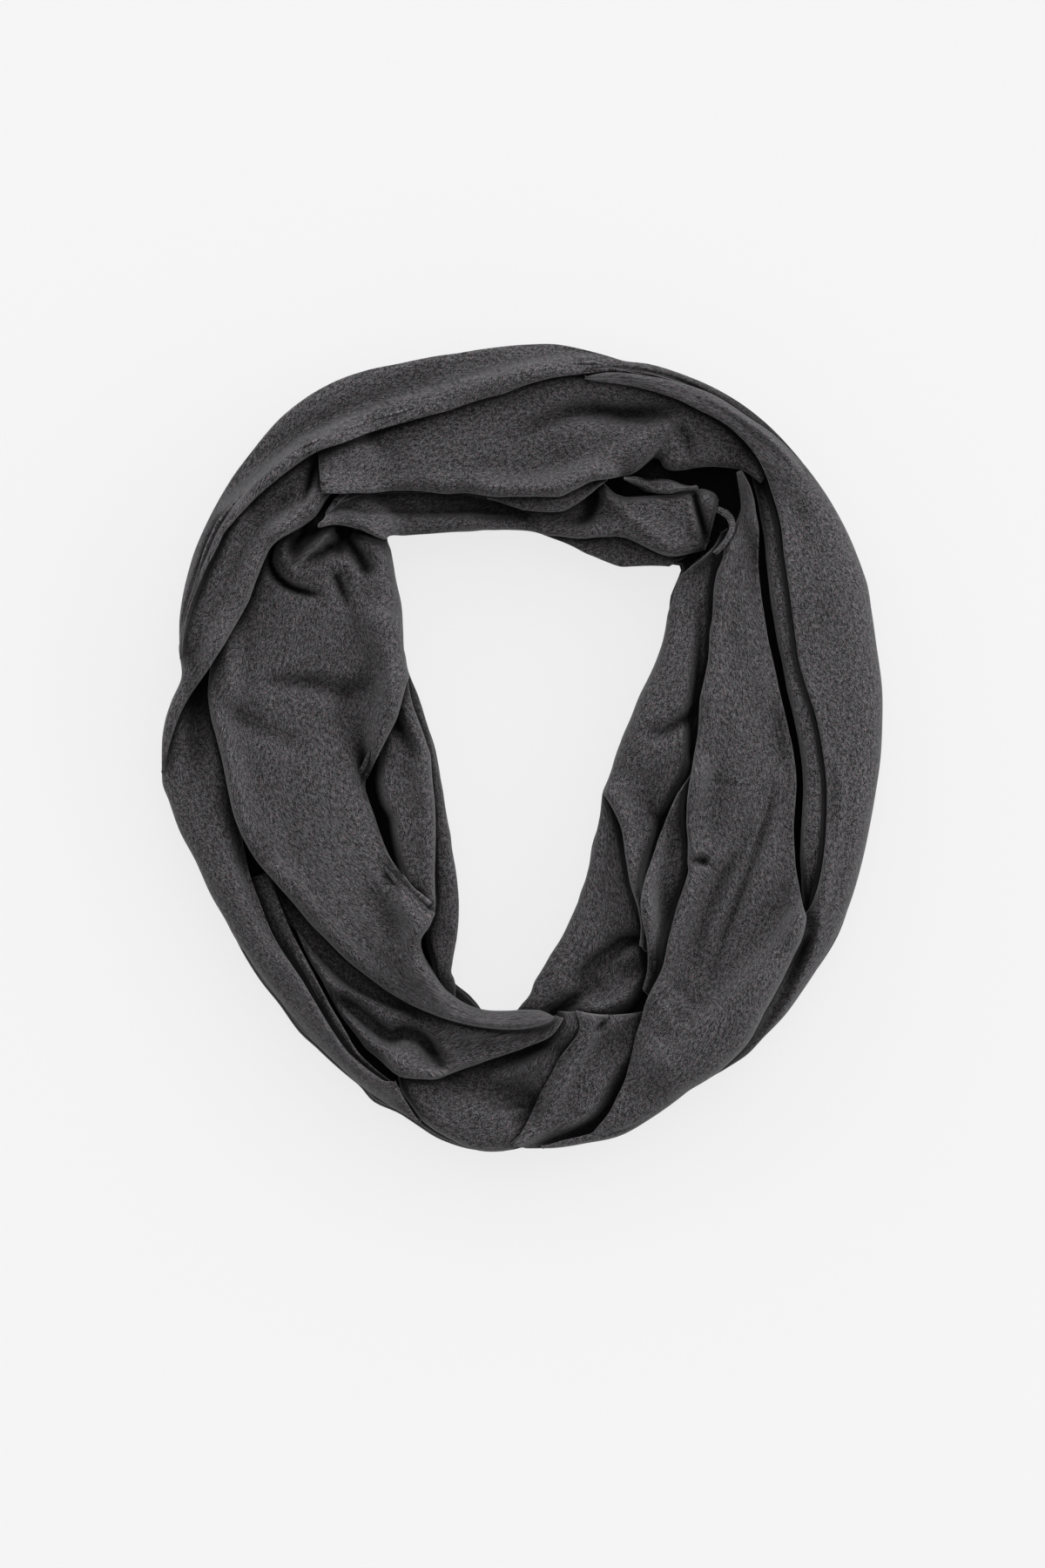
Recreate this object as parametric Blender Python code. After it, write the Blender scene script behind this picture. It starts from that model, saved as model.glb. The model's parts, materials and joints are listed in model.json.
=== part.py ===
"""Infinity scarf: one loop of charcoal jersey tube, wound twice and laid flat.

Every stretch of cloth that shows is a thin wall of its own. Each wall is lofted between two
edges, rolled under where the cloth is folded, and laid on the heap of stretches made before it.
The folded layers that nothing shows of share one rounded solid at the bottom of the heap.

Places on the scarf are given in ring coordinates: an angle in degrees round an oval spine,
counted from +X towards +Y, and a distance in millimetres outwards from that spine.
"""
import math
from collections import namedtuple

import bpy
import numpy as np

MM = 0.001

# The oval spine, the cloth and the heap, in metres.
SPINE_HALF_WIDTH = 0.117
SPINE_HALF_LENGTH = 0.163
SPINE_CENTRE = (0.002, -0.005)
CLOTH_WALL = 0.0013
CLOTH_GAP = 0.0004
HIDDEN_LAYER = 0.006
HIDDEN_LAYERS = 2
HIDDEN_CROWN = 0.002

# How finely the walls are divided.
STATION_SPACING = 0.015
HIDDEN_STATIONS = 60
WIDE_STRETCH = 0.030
WIDE_COLUMNS = 7
NARROW_COLUMNS = 5
HOOK_TURNS = (120.0, 60.0)
NARROW_ROLL = 0.0015
NARROW_FROM = 0.004
NARROW_TO = 0.011

# The plan grid that holds the height of the heap.
CELL = 0.0005
PLAN_HALF = (0.200, 0.222)
BRIDGE = 0.004
BLUR = 0.003

# A cell of an edge column that says: follow the outline of the whole scarf.
RIM = None

Outline = namedtuple("Outline", "deg inner_mm outer_mm")
Row = namedtuple("Row", "inner_deg inner_mm outer_deg outer_mm crest_mm")
Fold = namedtuple("Fold", "start_deg start_mm end_deg end_mm width_mm depth_mm")
Stretch = namedtuple(
    "Stretch", "name shade inner_roll inner_shoulder outer_roll outer_shoulder open_end rows folds")

# Outline of the whole scarf from above: the neck hole inside and the rim outside.
OUTLINE = [Outline(*row) for row in (
    (0, -72.0, 62.0), (10, -63.0, 65.0), (20, -48.5, 67.0), (30, -33.0, 68.3), (36, -24.5, 68.0),
    (39.7, -16.0, 67.3), (43, -25.0, 66.5), (46, -34.0, 65.8), (52, -43.0, 63.5), (60, -47.3, 58.8),
    (70, -49.0, 51.0), (77, -49.2, 46.5), (85, -48.5, 47.0), (95, -47.5, 45.5), (105, -45.0, 48.5),
    (112, -41.5, 54.0), (120, -34.5, 62.5), (127, -25.0, 67.2), (133, -12.5, 68.4), (137, -22.5, 69.0),
    (142, -32.5, 69.7), (150, -42.5, 70.0), (159, -51.5, 67.5), (168.5, -64.0, 60.3), (175, -69.0, 66.0),
    (183, -73.0, 67.0), (190, -74.3, 60.5), (197, -74.3, 53.0), (205, -72.5, 47.0), (215, -68.5, 43.5),
    (225, -60.0, 39.0), (232, -49.0, 35.7), (237.5, -38.0, 34.6), (242, -36.8, 36.8), (248, -35.5, 35.0),
    (254, -32.0, 37.0), (262, -33.8, 39.0), (268, -39.0, 35.0), (272, -44.0, 33.8), (278, -52.5, 34.8),
    (287, -59.3, 37.0), (300, -65.0, 35.6), (312, -69.5, 44.0), (322, -73.0, 49.0), (335, -76.5, 55.0),
    (350, -77.5, 58.5))]

# The stretches, lowest first. Shades are linear grey levels of the heathered cloth.
STRETCHES = (
    Stretch(
        name="left_inner_edge", shade=0.060, inner_roll=0.0024, inner_shoulder=0.007,
        outer_roll=0.0, outer_shoulder=0.006, open_end=None,
        rows=((150, -38.0, 150, -28.0, 2.0), (159, RIM, 159, -43.0, 3.0), (170, RIM, 170, -52.0, 4.0),
              (182, RIM, 182, -60.0, 4.0), (195, RIM, 195, -59.0, 4.0), (208, RIM, 208, -53.0, 4.0),
              (222, RIM, 222, -43.0, 4.0), (231, RIM, 231, -38.0, 4.0), (236, RIM, 236, -28.0, 4.0),
              (243, -30.0, 243, -22.0, 3.0)),
        folds=()),
    Stretch(
        name="top_under_fold", shade=0.045, inner_roll=0.0022, inner_shoulder=0.006,
        outer_roll=0.0, outer_shoulder=0.006, open_end=None,
        rows=((41, RIM, 41, -8.0, 2.5), (46, RIM, 46, -12.0, 3.0), (53, RIM, 53, -18.0, 3.0),
              (62, RIM, 62, -31.0, 3.0), (72, RIM, 72, -38.0, 2.5), (81, RIM, 81, -40.0, 2.0)),
        folds=()),
    Stretch(
        name="right_lower_roll", shade=0.062, inner_roll=0.0028, inner_shoulder=0.012,
        outer_roll=0.0, outer_shoulder=0.012, open_end=None,
        rows=((262, -28.0, 262, -18.0, 3.0), (267, RIM, 267, -22.0, 5.0), (275, RIM, 275, -22.0, 7.0),
              (287, RIM, 287, -18.0, 9.0), (300, RIM, 300, -14.0, 9.0), (312, RIM, 312, -14.0, 8.0),
              (322, RIM, 322, -26.0, 8.0), (333, RIM, 333, -44.0, 7.0), (343, RIM, 343, -56.0, 6.0),
              (351, RIM, 351, -66.0, 4.0)),
        folds=((320, -39, 298, -43, 7, 5),)),
    Stretch(
        name="left_inner_roll", shade=0.064, inner_roll=0.0028, inner_shoulder=0.010,
        outer_roll=0.0, outer_shoulder=0.009, open_end=None,
        rows=((150, -38.0, 150, -25.0, 3.0), (159, -51.0, 159, -33.0, 6.0), (168, -58.5, 168, -38.0, 7.0),
              (176, -66.5, 176, -40.0, 8.0), (188, -69.5, 188, -42.0, 8.5), (200, -67.0, 200, -48.0, 8.0),
              (212, -60.0, 212, -44.0, 7.0), (220, -53.0, 220, -36.0, 6.0), (225, -43.0, 225, -31.0, 5.0),
              (232, -38.5, 232, -26.0, 4.0), (238, RIM, 238, -22.0, 4.0), (250, RIM, 250, -20.0, 4.0),
              (257, -28.0, 257, -18.0, 3.0)),
        folds=()),
    Stretch(
        name="bottom_panel", shade=0.055, inner_roll=0.0, inner_shoulder=0.012,
        outer_roll=0.0030, outer_shoulder=0.012, open_end=None,
        rows=((236, 10.0, 236, 31.0, 4.0), (243, 6.0, 243, RIM, 7.0), (250, -3.0, 250, RIM, 9.0),
              (258, -12.0, 258, RIM, 10.0), (265, -20.0, 265, RIM, 10.0), (270, -25.0, 270, 29.0, 8.0),
              (276, -28.0, 275, 12.0, 7.0), (283, -29.0, 281, -6.0, 6.0), (287, -28.0, 287, -16.0, 4.0)),
        folds=((250, 16, 268, -14, 12, 4),)),
    Stretch(
        name="bottom_right_panel", shade=0.055, inner_roll=0.0028, inner_shoulder=0.012,
        outer_roll=0.0026, outer_shoulder=0.012, open_end="last",
        rows=((267, 31.5, 270, 33.2, 3.0), (270, 25.0, 276, 30.5, 7.0), (273, 13.0, 283, 26.3, 9.0),
              (276, 2.0, 289, 18.5, 9.0), (280, -9.0, 295, 5.5, 9.0), (282.5, -19.0, 299, -6.0, 9.0),
              (283, -31.0, 301, -20.0, 8.0)),
        folds=()),
    Stretch(
        name="lower_left_fold", shade=0.058, inner_roll=0.0, inner_shoulder=0.008,
        outer_roll=0.0024, outer_shoulder=0.007, open_end=None,
        rows=((200, 12.0, 200, 24.0, 3.0), (212, -1.0, 212, 22.0, 4.0), (224, -11.0, 224, 21.0, 4.0),
              (233, -18.0, 233, 20.5, 5.0), (242, -23.0, 242, 19.3, 6.0), (249, -27.0, 249, 5.0, 7.0),
              (256, -30.0, 256, -1.0, 7.0), (265, -31.0, 265, -13.0, 7.0), (275, -30.5, 275, -18.5, 5.0),
              (283, -31.0, 283, -25.5, 4.0)),
        folds=((222, 13, 240, 1, 5, 4),)),
    Stretch(
        name="left_strip", shade=0.058, inner_roll=0.0022, inner_shoulder=0.006,
        outer_roll=0.0, outer_shoulder=0.006, open_end=None,
        rows=((198, 19.5, 198, 32.0, 2.5), (210, 17.5, 210, 33.0, 4.0), (221, 17.2, 221, 31.0, 4.0),
              (233, 20.8, 233, 33.0, 4.0), (241, 22.5, 241, 31.0, 3.0)),
        folds=()),
    Stretch(
        name="left_outer_band", shade=0.062, inner_roll=0.0026, inner_shoulder=0.008,
        outer_roll=0.0034, outer_shoulder=0.016, open_end="last",
        rows=((144, 54.0, 144, 66.0, 2.0), (151, 56.0, 151, RIM, 4.0), (160, 44.0, 160, RIM, 5.0),
              (168.5, 34.0, 168.5, RIM, 7.0), (180, 29.0, 180, RIM, 10.0),
              (193, 29.0, 193, RIM, 11.0), (205, 28.0, 205, RIM, 9.0), (216, 26.5, 216, 40.0, 7.0),
              (223, 25.5, 223, 37.5, 6.0), (232, 28.0, 232, 34.8, 5.0), (239, 27.0, 239, 33.5, 5.0),
              (246, 26.0, 246, 33.0, 4.0), (251, 29.5, 251, 35.0, 2.5)),
        folds=()),
    Stretch(
        name="left_upper_roll", shade=0.075, inner_roll=0.0030, inner_shoulder=0.010,
        outer_roll=0.0030, outer_shoulder=0.014, open_end="last",
        rows=((124, 19.0, 124, 42.0, 4.0), (134, 28.0, 134, 49.0, 10.0), (142, 31.0, 142, 57.5, 12.0),
              (149, 37.0, 149, 60.5, 12.0), (156, 37.8, 156, 63.5, 12.0), (163, 42.0, 163, 64.3, 11.0),
              (168.5, 50.5, 168.5, RIM, 7.0), (173, 57.5, 173, RIM, 5.0), (177.5, 62.0, 177.5, RIM, 3.0)),
        folds=()),
    Stretch(
        name="left_front_panel", shade=0.066, inner_roll=0.0030, inner_shoulder=0.016,
        outer_roll=0.0028, outer_shoulder=0.014, open_end="last",
        rows=((131, -6.0, 131, 6.0, 3.0), (137, RIM, 137, 17.0, 7.0), (145, RIM, 145, 32.5, 10.0),
              (153, RIM, 153, 35.0, 11.0), (161, -50.5, 161, 38.0, 12.0), (168, -51.5, 167, 45.0, 12.0),
              (175, -46.0, 174, 42.5, 12.0), (182, -33.5, 182, 37.0, 12.0), (192, -38.0, 192, 30.0, 12.0),
              (203, -44.5, 203, 16.5, 12.0), (213, -53.0, 213, 5.0, 11.0), (221, -46.0, 221, -2.0, 10.0),
              (227, -35.0, 227, -6.0, 9.0), (238, -30.5, 238, -13.2, 8.0), (250, -31.0, 250, -20.5, 7.0),
              (262, -34.0, 262, -24.2, 7.0), (274, -36.3, 274, -25.8, 7.0), (279.5, -32.5, 279.5, -27.2, 4.0)),
        folds=((168, 24, 164, -34, 9, 5), (150, 14, 149, -2, 7, 4))),
    Stretch(
        name="top_inner_band", shade=0.055, inner_roll=0.0030, inner_shoulder=0.012,
        outer_roll=0.0022, outer_shoulder=0.010, open_end="first",
        rows=((40.5, -9.0, 40.5, 3.0, 4.0), (44, -18.0, 44, 8.0, 8.0), (48, -23.0, 48, 9.5, 9.0),
              (52, -26.5, 52, 6.5, 9.0), (57, -33.5, 56, -2.0, 9.0), (63, -42.0, 61, -11.0, 8.0),
              (70, -46.5, 69, -17.0, 7.0), (78, -48.7, 78, -27.0, 6.0), (90, RIM, 90, -30.0, 6.0),
              (102, RIM, 102, -22.0, 6.0), (113, RIM, 113, -9.0, 6.0), (123, RIM, 122, 4.0, 6.0),
              (129, RIM, 127, 11.0, 6.0), (133, RIM, 130, 16.0, 6.0), (137, 12.0, 132.7, 22.0, 5.0),
              (139.3, 19.0, 134.8, 26.0, 3.0)),
        folds=((66.5, -13, 66.5, -34, 6, 4),)),
    Stretch(
        name="top_second_fold", shade=0.055, inner_roll=0.0024, inner_shoulder=0.007,
        outer_roll=0.0, outer_shoulder=0.006, open_end=None,
        rows=((66.5, -13.5, 66.5, -9.0, 2.0), (70, -26.0, 70, -11.0, 4.0), (75, -35.0, 75, -19.0, 5.0),
              (84, -38.5, 84, -25.0, 5.0), (94, -36.0, 94, -26.0, 4.0), (103, -28.5, 103, -20.0, 2.5)),
        folds=()),
    Stretch(
        name="right_narrow_roll", shade=0.064, inner_roll=0.0024, inner_shoulder=0.007,
        outer_roll=0.0, outer_shoulder=0.007, open_end=None,
        rows=((330, 24.0, 330, 34.0, 3.0), (339, 24.5, 339, 42.0, 5.0), (350, 22.0, 350, 42.0, 7.0),
              (2, 20.0, 2, 38.0, 7.0), (15, 14.5, 15, 31.0, 7.0), (26, 17.2, 26, 35.0, 7.0),
              (35, 24.0, 35, 42.0, 7.0), (41, 32.0, 41, 46.0, 6.0), (46, 42.0, 46, 50.0, 3.0)),
        folds=()),
    Stretch(
        name="top_front_panel", shade=0.068, inner_roll=0.0030, inner_shoulder=0.012,
        outer_roll=0.0, outer_shoulder=0.016, open_end="last",
        rows=((44.5, 43.5, 46, 50.0, 3.0), (49.5, 38.0, 50, 54.0, 6.0), (54, 22.0, 54.5, 54.0, 7.0),
              (58, 12.5, 58.5, 52.0, 8.0), (61.5, 6.0, 62, 49.0, 10.0), (66, -8.0, 67, 45.0, 12.0),
              (73, -21.0, 73, 40.0, 13.0), (82, -30.0, 82, 35.0, 13.0), (92, -31.0, 92, 30.0, 13.0),
              (103, -28.0, 103, 28.0, 12.0), (114, -18.0, 113, 30.0, 11.0), (123, -2.0, 120, 37.0, 9.0),
              (129, 11.0, 125, 43.0, 7.0), (133.5, 26.0, 128.5, 47.0, 5.0)),
        folds=((64, 31, 73, 21, 10, 9), (73, 21, 88, 8, 11, 5))),
    Stretch(
        name="top_outer_sweep", shade=0.090, inner_roll=0.0034, inner_shoulder=0.012,
        outer_roll=0.0034, outer_shoulder=0.024, open_end="last",
        rows=((50, 50.0, 50, 61.0, 3.0), (58, 48.0, 58, RIM, 5.0), (66, 46.0, 66, RIM, 7.0),
              (70, 46.8, 70, RIM, 8.0), (75, 41.2, 75, RIM, 9.0), (80, 34.5, 80, RIM, 10.0),
              (88, 27.0, 88, RIM, 11.0), (99, 20.7, 99, RIM, 12.0), (111, 22.5, 111, RIM, 12.0),
              (122, 32.5, 122, RIM, 12.0), (133, 46.5, 133, RIM, 10.0), (143, 56.5, 143, RIM, 8.0),
              (150, 61.3, 150, RIM, 6.0), (155, 63.8, 155, RIM, 3.0)),
        folds=()),
    Stretch(
        name="right_outer_turn", shade=0.074, inner_roll=0.0034, inner_shoulder=0.013,
        outer_roll=0.0034, outer_shoulder=0.026, open_end="last",
        rows=((300, 12.0, 300, 31.0, 3.0), (312, 18.0, 312, RIM, 6.0), (325, 26.0, 325, RIM, 9.0),
              (337, 34.0, 337, RIM, 12.0), (350, 36.0, 350, RIM, 14.0), (2, 31.0, 2, RIM, 14.0),
              (13, 26.0, 13, RIM, 14.0), (24, 29.0, 24, RIM, 14.0), (36, 39.0, 36, RIM, 13.0),
              (45, 46.0, 45, RIM, 11.0), (52, 50.0, 52, 60.0, 9.0), (60, 46.0, 60, 54.5, 7.0),
              (66, 41.8, 66, 49.3, 6.0), (70, 39.0, 70, 45.4, 5.0), (76, 34.3, 76, 38.4, 3.0)),
        folds=()),
    Stretch(
        name="right_inner_panel", shade=0.066, inner_roll=0.0030, inner_shoulder=0.014,
        outer_roll=0.0, outer_shoulder=0.012, open_end="last",
        rows=((316, -34.0, 316, -22.0, 4.0), (322, -43.0, 322, -28.0, 7.0), (330, -55.0, 330, -34.0, 9.0),
              (340, -64.0, 340, -36.0, 10.0), (350, -75.5, 350, -34.0, 10.0), (1, RIM, 1, -24.0, 11.0),
              (12, RIM, 12, -17.0, 11.0), (23, RIM, 23, -8.0, 10.0), (31, RIM, 31, 2.0, 8.0),
              (37, -20.5, 37, 8.0, 5.0), (39.6, -13.0, 40, 3.0, 3.0)),
        folds=((10, -28, 6, -54, 7, 5),)),
    Stretch(
        name="right_middle_strip", shade=0.064, inner_roll=0.0024, inner_shoulder=0.007,
        outer_roll=0.0, outer_shoulder=0.007, open_end=None,
        rows=((308, -20.5, 308, -10.0, 3.0), (316, -30.0, 316, -16.0, 5.0), (324, -42.0, 324, -20.0, 6.0),
              (335, -45.5, 335, -22.0, 6.0), (346, -44.0, 346, -27.0, 5.0), (356, -34.5, 356, -28.0, 3.0)),
        folds=()),
    Stretch(
        name="right_front_panel", shade=0.070, inner_roll=0.0028, inner_shoulder=0.013,
        outer_roll=0.0028, outer_shoulder=0.012, open_end="first",
        rows=((275.5, 30.3, 275.5, RIM, 2.5), (281, 30.0, 281, RIM, 3.5), (288, 22.5, 288, RIM, 6.0),
              (294, 10.0, 294, RIM, 9.0), (300, -6.0, 300, RIM, 11.0), (309, -14.5, 308, 39.8, 12.0),
              (319, -21.0, 318, 39.0, 12.0), (329, -26.0, 329, 37.8, 12.0), (335, -27.0, 335, 37.3, 12.0),
              (340, -29.0, 340, 27.0, 12.0), (347, -33.5, 347, 20.5, 11.0), (356, -35.0, 356, 19.8, 11.0),
              (8, -29.0, 8, 14.0, 11.0), (20, -18.5, 20, 13.0, 10.0), (29, -8.5, 29, 17.2, 9.0),
              (36, 3.5, 36, 23.5, 8.0), (42, 25.0, 42, 31.5, 6.0), (46, 34.0, 46, 38.5, 3.0)),
        folds=((357, 12, 320, 7, 8, 5), (348, -2, 323, -10, 6, 4))),
    Stretch(
        name="knot_ribbon", shade=0.055, inner_roll=0.0, inner_shoulder=0.003,
        outer_roll=0.0, outer_shoulder=0.003, open_end="last",
        rows=((50, 11.0, 50, 15.5, 2.0), (54, 7.5, 54, 12.0, 2.5), (60, -4.5, 60, 1.5, 2.5),
              (63, -7.0, 63, -3.0, 2.0)),
        folds=()),
    Stretch(
        name="knot_loop", shade=0.060, inner_roll=0.0, inner_shoulder=0.003,
        outer_roll=0.0, outer_shoulder=0.003, open_end="last",
        rows=((41, 9.5, 41, 13.0, 2.0), (44, 13.5, 44, 17.5, 2.5), (48, 14.5, 47.5, 19.5, 2.5)),
        folds=()),
)


def ring_point(deg, out):
    """Plan position of a place at an angle on the spine and a distance out from it, in metres."""
    angle = np.radians(deg)
    across = np.cos(angle) / SPINE_HALF_WIDTH
    along = np.sin(angle) / SPINE_HALF_LENGTH
    unit = np.hypot(across, along)
    x = SPINE_CENTRE[0] + SPINE_HALF_WIDTH * np.cos(angle) + out * across / unit
    y = SPINE_CENTRE[1] + SPINE_HALF_LENGTH * np.sin(angle) + out * along / unit
    return x, y


def smooth_curve(knots, values, at):
    """Cubic curve through the values that never swings past them between the knots."""
    knots = np.asarray(knots, dtype=float)
    values = np.asarray(values, dtype=float)
    step = np.diff(knots)
    slope = np.diff(values) / step
    before = slope[:-1]
    after = slope[1:]
    same_way = before * after > 0.0
    total = np.where(same_way, before + after, 1.0)
    tangent = np.concatenate((slope[:1], np.where(same_way, 2.0 * before * after / total, 0.0), slope[-1:]))
    cell = np.clip(np.searchsorted(knots, at, side="right") - 1, 0, len(step) - 1)
    u = (at - knots[cell]) / step[cell]
    rise = values[cell] + u * u * (3.0 - 2.0 * u) * (values[cell + 1] - values[cell])
    swing = u * (1.0 - u) ** 2 * tangent[cell] - u * u * (1.0 - u) * tangent[cell + 1]
    return rise + swing * step[cell]


def outline(deg, side):
    """Inner or outer outline of the scarf at the given angles, in metres out from the spine."""
    knots = [row.deg - 360.0 for row in OUTLINE] + [row.deg for row in OUTLINE]
    knots += [row.deg + 360.0 for row in OUTLINE]
    values = [getattr(row, side) * MM for row in OUTLINE] * 3
    return smooth_curve(knots, values, np.asarray(deg, dtype=float) % 360.0)


def shoulder(distance, width):
    """Quarter round that climbs from 0 at an edge to 1 at the shoulder's width."""
    reach = np.clip(distance / np.maximum(width, 1e-6), 0.0, 1.0)
    return np.sqrt(1.0 - (1.0 - reach) ** 2)


def slope_in(distance, width):
    """Gentle slope that climbs from 0 at a tucked edge to 1 at the shoulder's width."""
    reach = np.clip(distance / np.maximum(width, 1e-6), 0.0, 1.0)
    return reach * reach * (3.0 - 2.0 * reach)


def unwound(rows):
    """The rows with angles that run on past 360 degrees instead of starting again at 0."""
    turned = []
    shift = 0.0
    for row in rows:
        row = Row(*row)
        if turned and row.inner_deg + shift < turned[-1].inner_deg - 180.0:
            shift += 360.0
        turned.append(row._replace(inner_deg=row.inner_deg + shift, outer_deg=row.outer_deg + shift))
    return turned


class Plan:
    """A stretch seen from above: stations along it, and columns across each of them."""

    def __init__(self, stretch):
        rows = unwound(stretch.rows)
        self.stretch = stretch
        inner = self.edge(rows, "inner")
        outer = self.edge(rows, "outer")
        middle = np.stack(ring_point((inner[0] + outer[0]) / 2, (inner[1] + outer[1]) / 2), axis=1)
        travel = np.concatenate(([0.0], np.cumsum(np.linalg.norm(np.diff(middle, axis=0), axis=1))))
        count = max(3, int(round(travel[-1] / STATION_SPACING)) + 1)
        at = np.linspace(0.0, travel[-1], count)
        self.travel = at
        inner_deg, inner_out = self.stations(travel, inner, at, "inner_mm")
        outer_deg, outer_out = self.stations(travel, outer, at, "outer_mm")
        self.crest = smooth_curve(travel, [row.crest_mm * MM for row in rows], at)
        x0, y0 = ring_point(inner_deg, inner_out)
        x1, y1 = ring_point(outer_deg, outer_out)
        self.width = np.hypot(x1 - x0, y1 - y0)
        columns = WIDE_COLUMNS if self.width.max() > WIDE_STRETCH else NARROW_COLUMNS
        share = 0.5 - 0.5 * np.cos(np.linspace(0.0, math.pi, columns))
        deg = inner_deg[:, None] * (1.0 - share) + outer_deg[:, None] * share
        out = inner_out[:, None] * (1.0 - share) + outer_out[:, None] * share
        self.x, self.y = ring_point(deg, out)
        self.share = share
        self.ample = np.clip((self.width - NARROW_FROM) / (NARROW_TO - NARROW_FROM), 0.0, 1.0)

    def roll(self, full_roll):
        """Radius of a rolled edge at each station, smaller where the stretch is narrow."""
        return NARROW_ROLL + (full_roll - NARROW_ROLL) * self.ample

    @staticmethod
    def edge(rows, side):
        """Angle, distance and rim weight of one edge at each row."""
        deg = np.array([getattr(row, side + "_deg") for row in rows], dtype=float)
        cells = [getattr(row, side + "_mm") for row in rows]
        on_rim = np.array([cell is RIM for cell in cells], dtype=float)
        rim = outline(deg, side + "_mm")
        out = np.array([rim[i] if cell is RIM else cell * MM for i, cell in enumerate(cells)])
        return deg, out, on_rim

    @staticmethod
    def stations(travel, edge, at, side):
        """One edge read at the stations, held to the outline between rows that lie on it."""
        deg = smooth_curve(travel, edge[0], at)
        out = smooth_curve(travel, edge[1], at)
        on_rim = np.interp(at, travel, edge[2])
        return deg, on_rim * outline(deg, side) + (1.0 - on_rim) * out

    def rise(self):
        """Height of the cloth's top over what it lies on, at every station and column."""
        stretch = self.stretch
        from_inner = self.width[:, None] * self.share
        from_outer = self.width[:, None] * (1.0 - self.share)
        sides = []
        lift = 0.0
        for distance, roll, reach in ((from_inner, stretch.inner_roll, stretch.inner_shoulder),
                                      (from_outer, stretch.outer_roll, stretch.outer_shoulder)):
            reach = np.minimum(reach, 0.5 * self.width)[:, None]
            sides.append((shoulder if roll else slope_in)(distance, reach))
            if roll:
                lift = lift + (self.roll(roll) - CLOTH_WALL)[:, None] * np.clip(1.0 - distance / reach, 0.0, 1.0)
        full = np.minimum(self.crest, 0.5 * self.width)[:, None] * sides[0] * sides[1]
        ends = np.ones(len(self.travel))
        if stretch.open_end == "last":
            ends = shoulder(self.travel[-1] - self.travel, stretch.inner_shoulder)
        if stretch.open_end == "first":
            ends = shoulder(self.travel, stretch.inner_shoulder)
        height = full * ends[:, None] + lift + CLOTH_WALL
        for fold in stretch.folds:
            height = height - fold_depth(Fold(*fold), self.x, self.y) * sides[0] * sides[1]
        return np.maximum(height, CLOTH_WALL)


def fold_depth(fold, x, y):
    """Depth of one soft trough, deepest along its middle and fading out at both ends."""
    x0, y0 = ring_point(fold.start_deg, fold.start_mm * MM)
    x1, y1 = ring_point(fold.end_deg, fold.end_mm * MM)
    length = math.hypot(x1 - x0, y1 - y0)
    along = ((x - x0) * (x1 - x0) + (y - y0) * (y1 - y0)) / length ** 2
    near = np.clip(along, 0.0, 1.0)
    away = np.hypot(x - x0 - near * (x1 - x0), y - y0 - near * (y1 - y0))
    return fold.depth_mm * MM * np.exp(-(away / (fold.width_mm * MM)) ** 2)


def shifted(grid, steps, axis):
    """The grid moved by whole cells along one axis, with empty cells brought in."""
    moved = np.zeros_like(grid)
    source = [slice(None), slice(None)]
    target = [slice(None), slice(None)]
    source[axis] = slice(max(0, -steps), grid.shape[axis] - max(0, steps))
    target[axis] = slice(max(0, steps), grid.shape[axis] - max(0, -steps))
    moved[tuple(target)] = grid[tuple(source)]
    return moved


def widened(grid, cells):
    """Each cell raised to the highest within a square of the given half width."""
    for axis in (0, 1):
        widest = grid
        for steps in range(1, cells + 1):
            widest = np.maximum(widest, np.maximum(shifted(grid, steps, axis), shifted(grid, -steps, axis)))
        grid = widest
    return grid


def blurred(grid, cells):
    """Each cell averaged along both axes with bell weights."""
    weights = np.exp(-0.5 * (np.arange(-2 * cells, 2 * cells + 1) / cells) ** 2)
    for axis in (0, 1):
        total = np.zeros_like(grid)
        for steps, weight in zip(range(-2 * cells, 2 * cells + 1), weights / weights.sum()):
            total += weight * shifted(grid, steps, axis)
        grid = total
    return grid


class Heap:
    """Height of everything laid down so far, cell by cell in plan."""

    def __init__(self):
        self.height = np.zeros([int(2 * half / CELL) for half in PLAN_HALF])

    def cells(self, x, y):
        """Grid places of the given plan positions."""
        column = np.clip(((x + PLAN_HALF[0]) / CELL).astype(int), 0, self.height.shape[0] - 1)
        row = np.clip(((y + PLAN_HALF[1]) / CELL).astype(int), 0, self.height.shape[1] - 1)
        return column, row

    def add(self, points):
        """Raises the heap to the given points of a wall."""
        np.maximum.at(self.height, self.cells(points[:, 0], points[:, 1]), points[:, 2])

    def bed(self):
        """A smooth bed over the heap, which spans its small gaps."""
        wide = widened(self.height, int(BRIDGE / CELL))
        filled = (wide > 0.0).astype(float)
        cells = int(BLUR / CELL)
        return blurred(wide, cells) / np.maximum(blurred(filled, cells), 1e-3)


def spread_weights(count):
    """Weights of an even spread of places over a triangle."""
    first, second = np.meshgrid(np.arange(count + 1), np.arange(count + 1))
    inside = first + second <= count
    first = first[inside]
    second = second[inside]
    return np.stack((first, second, count - first - second), axis=1) / count


def grid_faces(stations, columns, start=0):
    """Triangles of a grid of points that are numbered station by station."""
    corner = (np.arange(stations - 1)[:, None] * columns + np.arange(columns - 1)).ravel() + start
    one = np.stack((corner, corner + 1, corner + columns + 1), axis=1)
    two = np.stack((corner, corner + columns + 1, corner + columns), axis=1)
    return np.concatenate((one, two))


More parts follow.
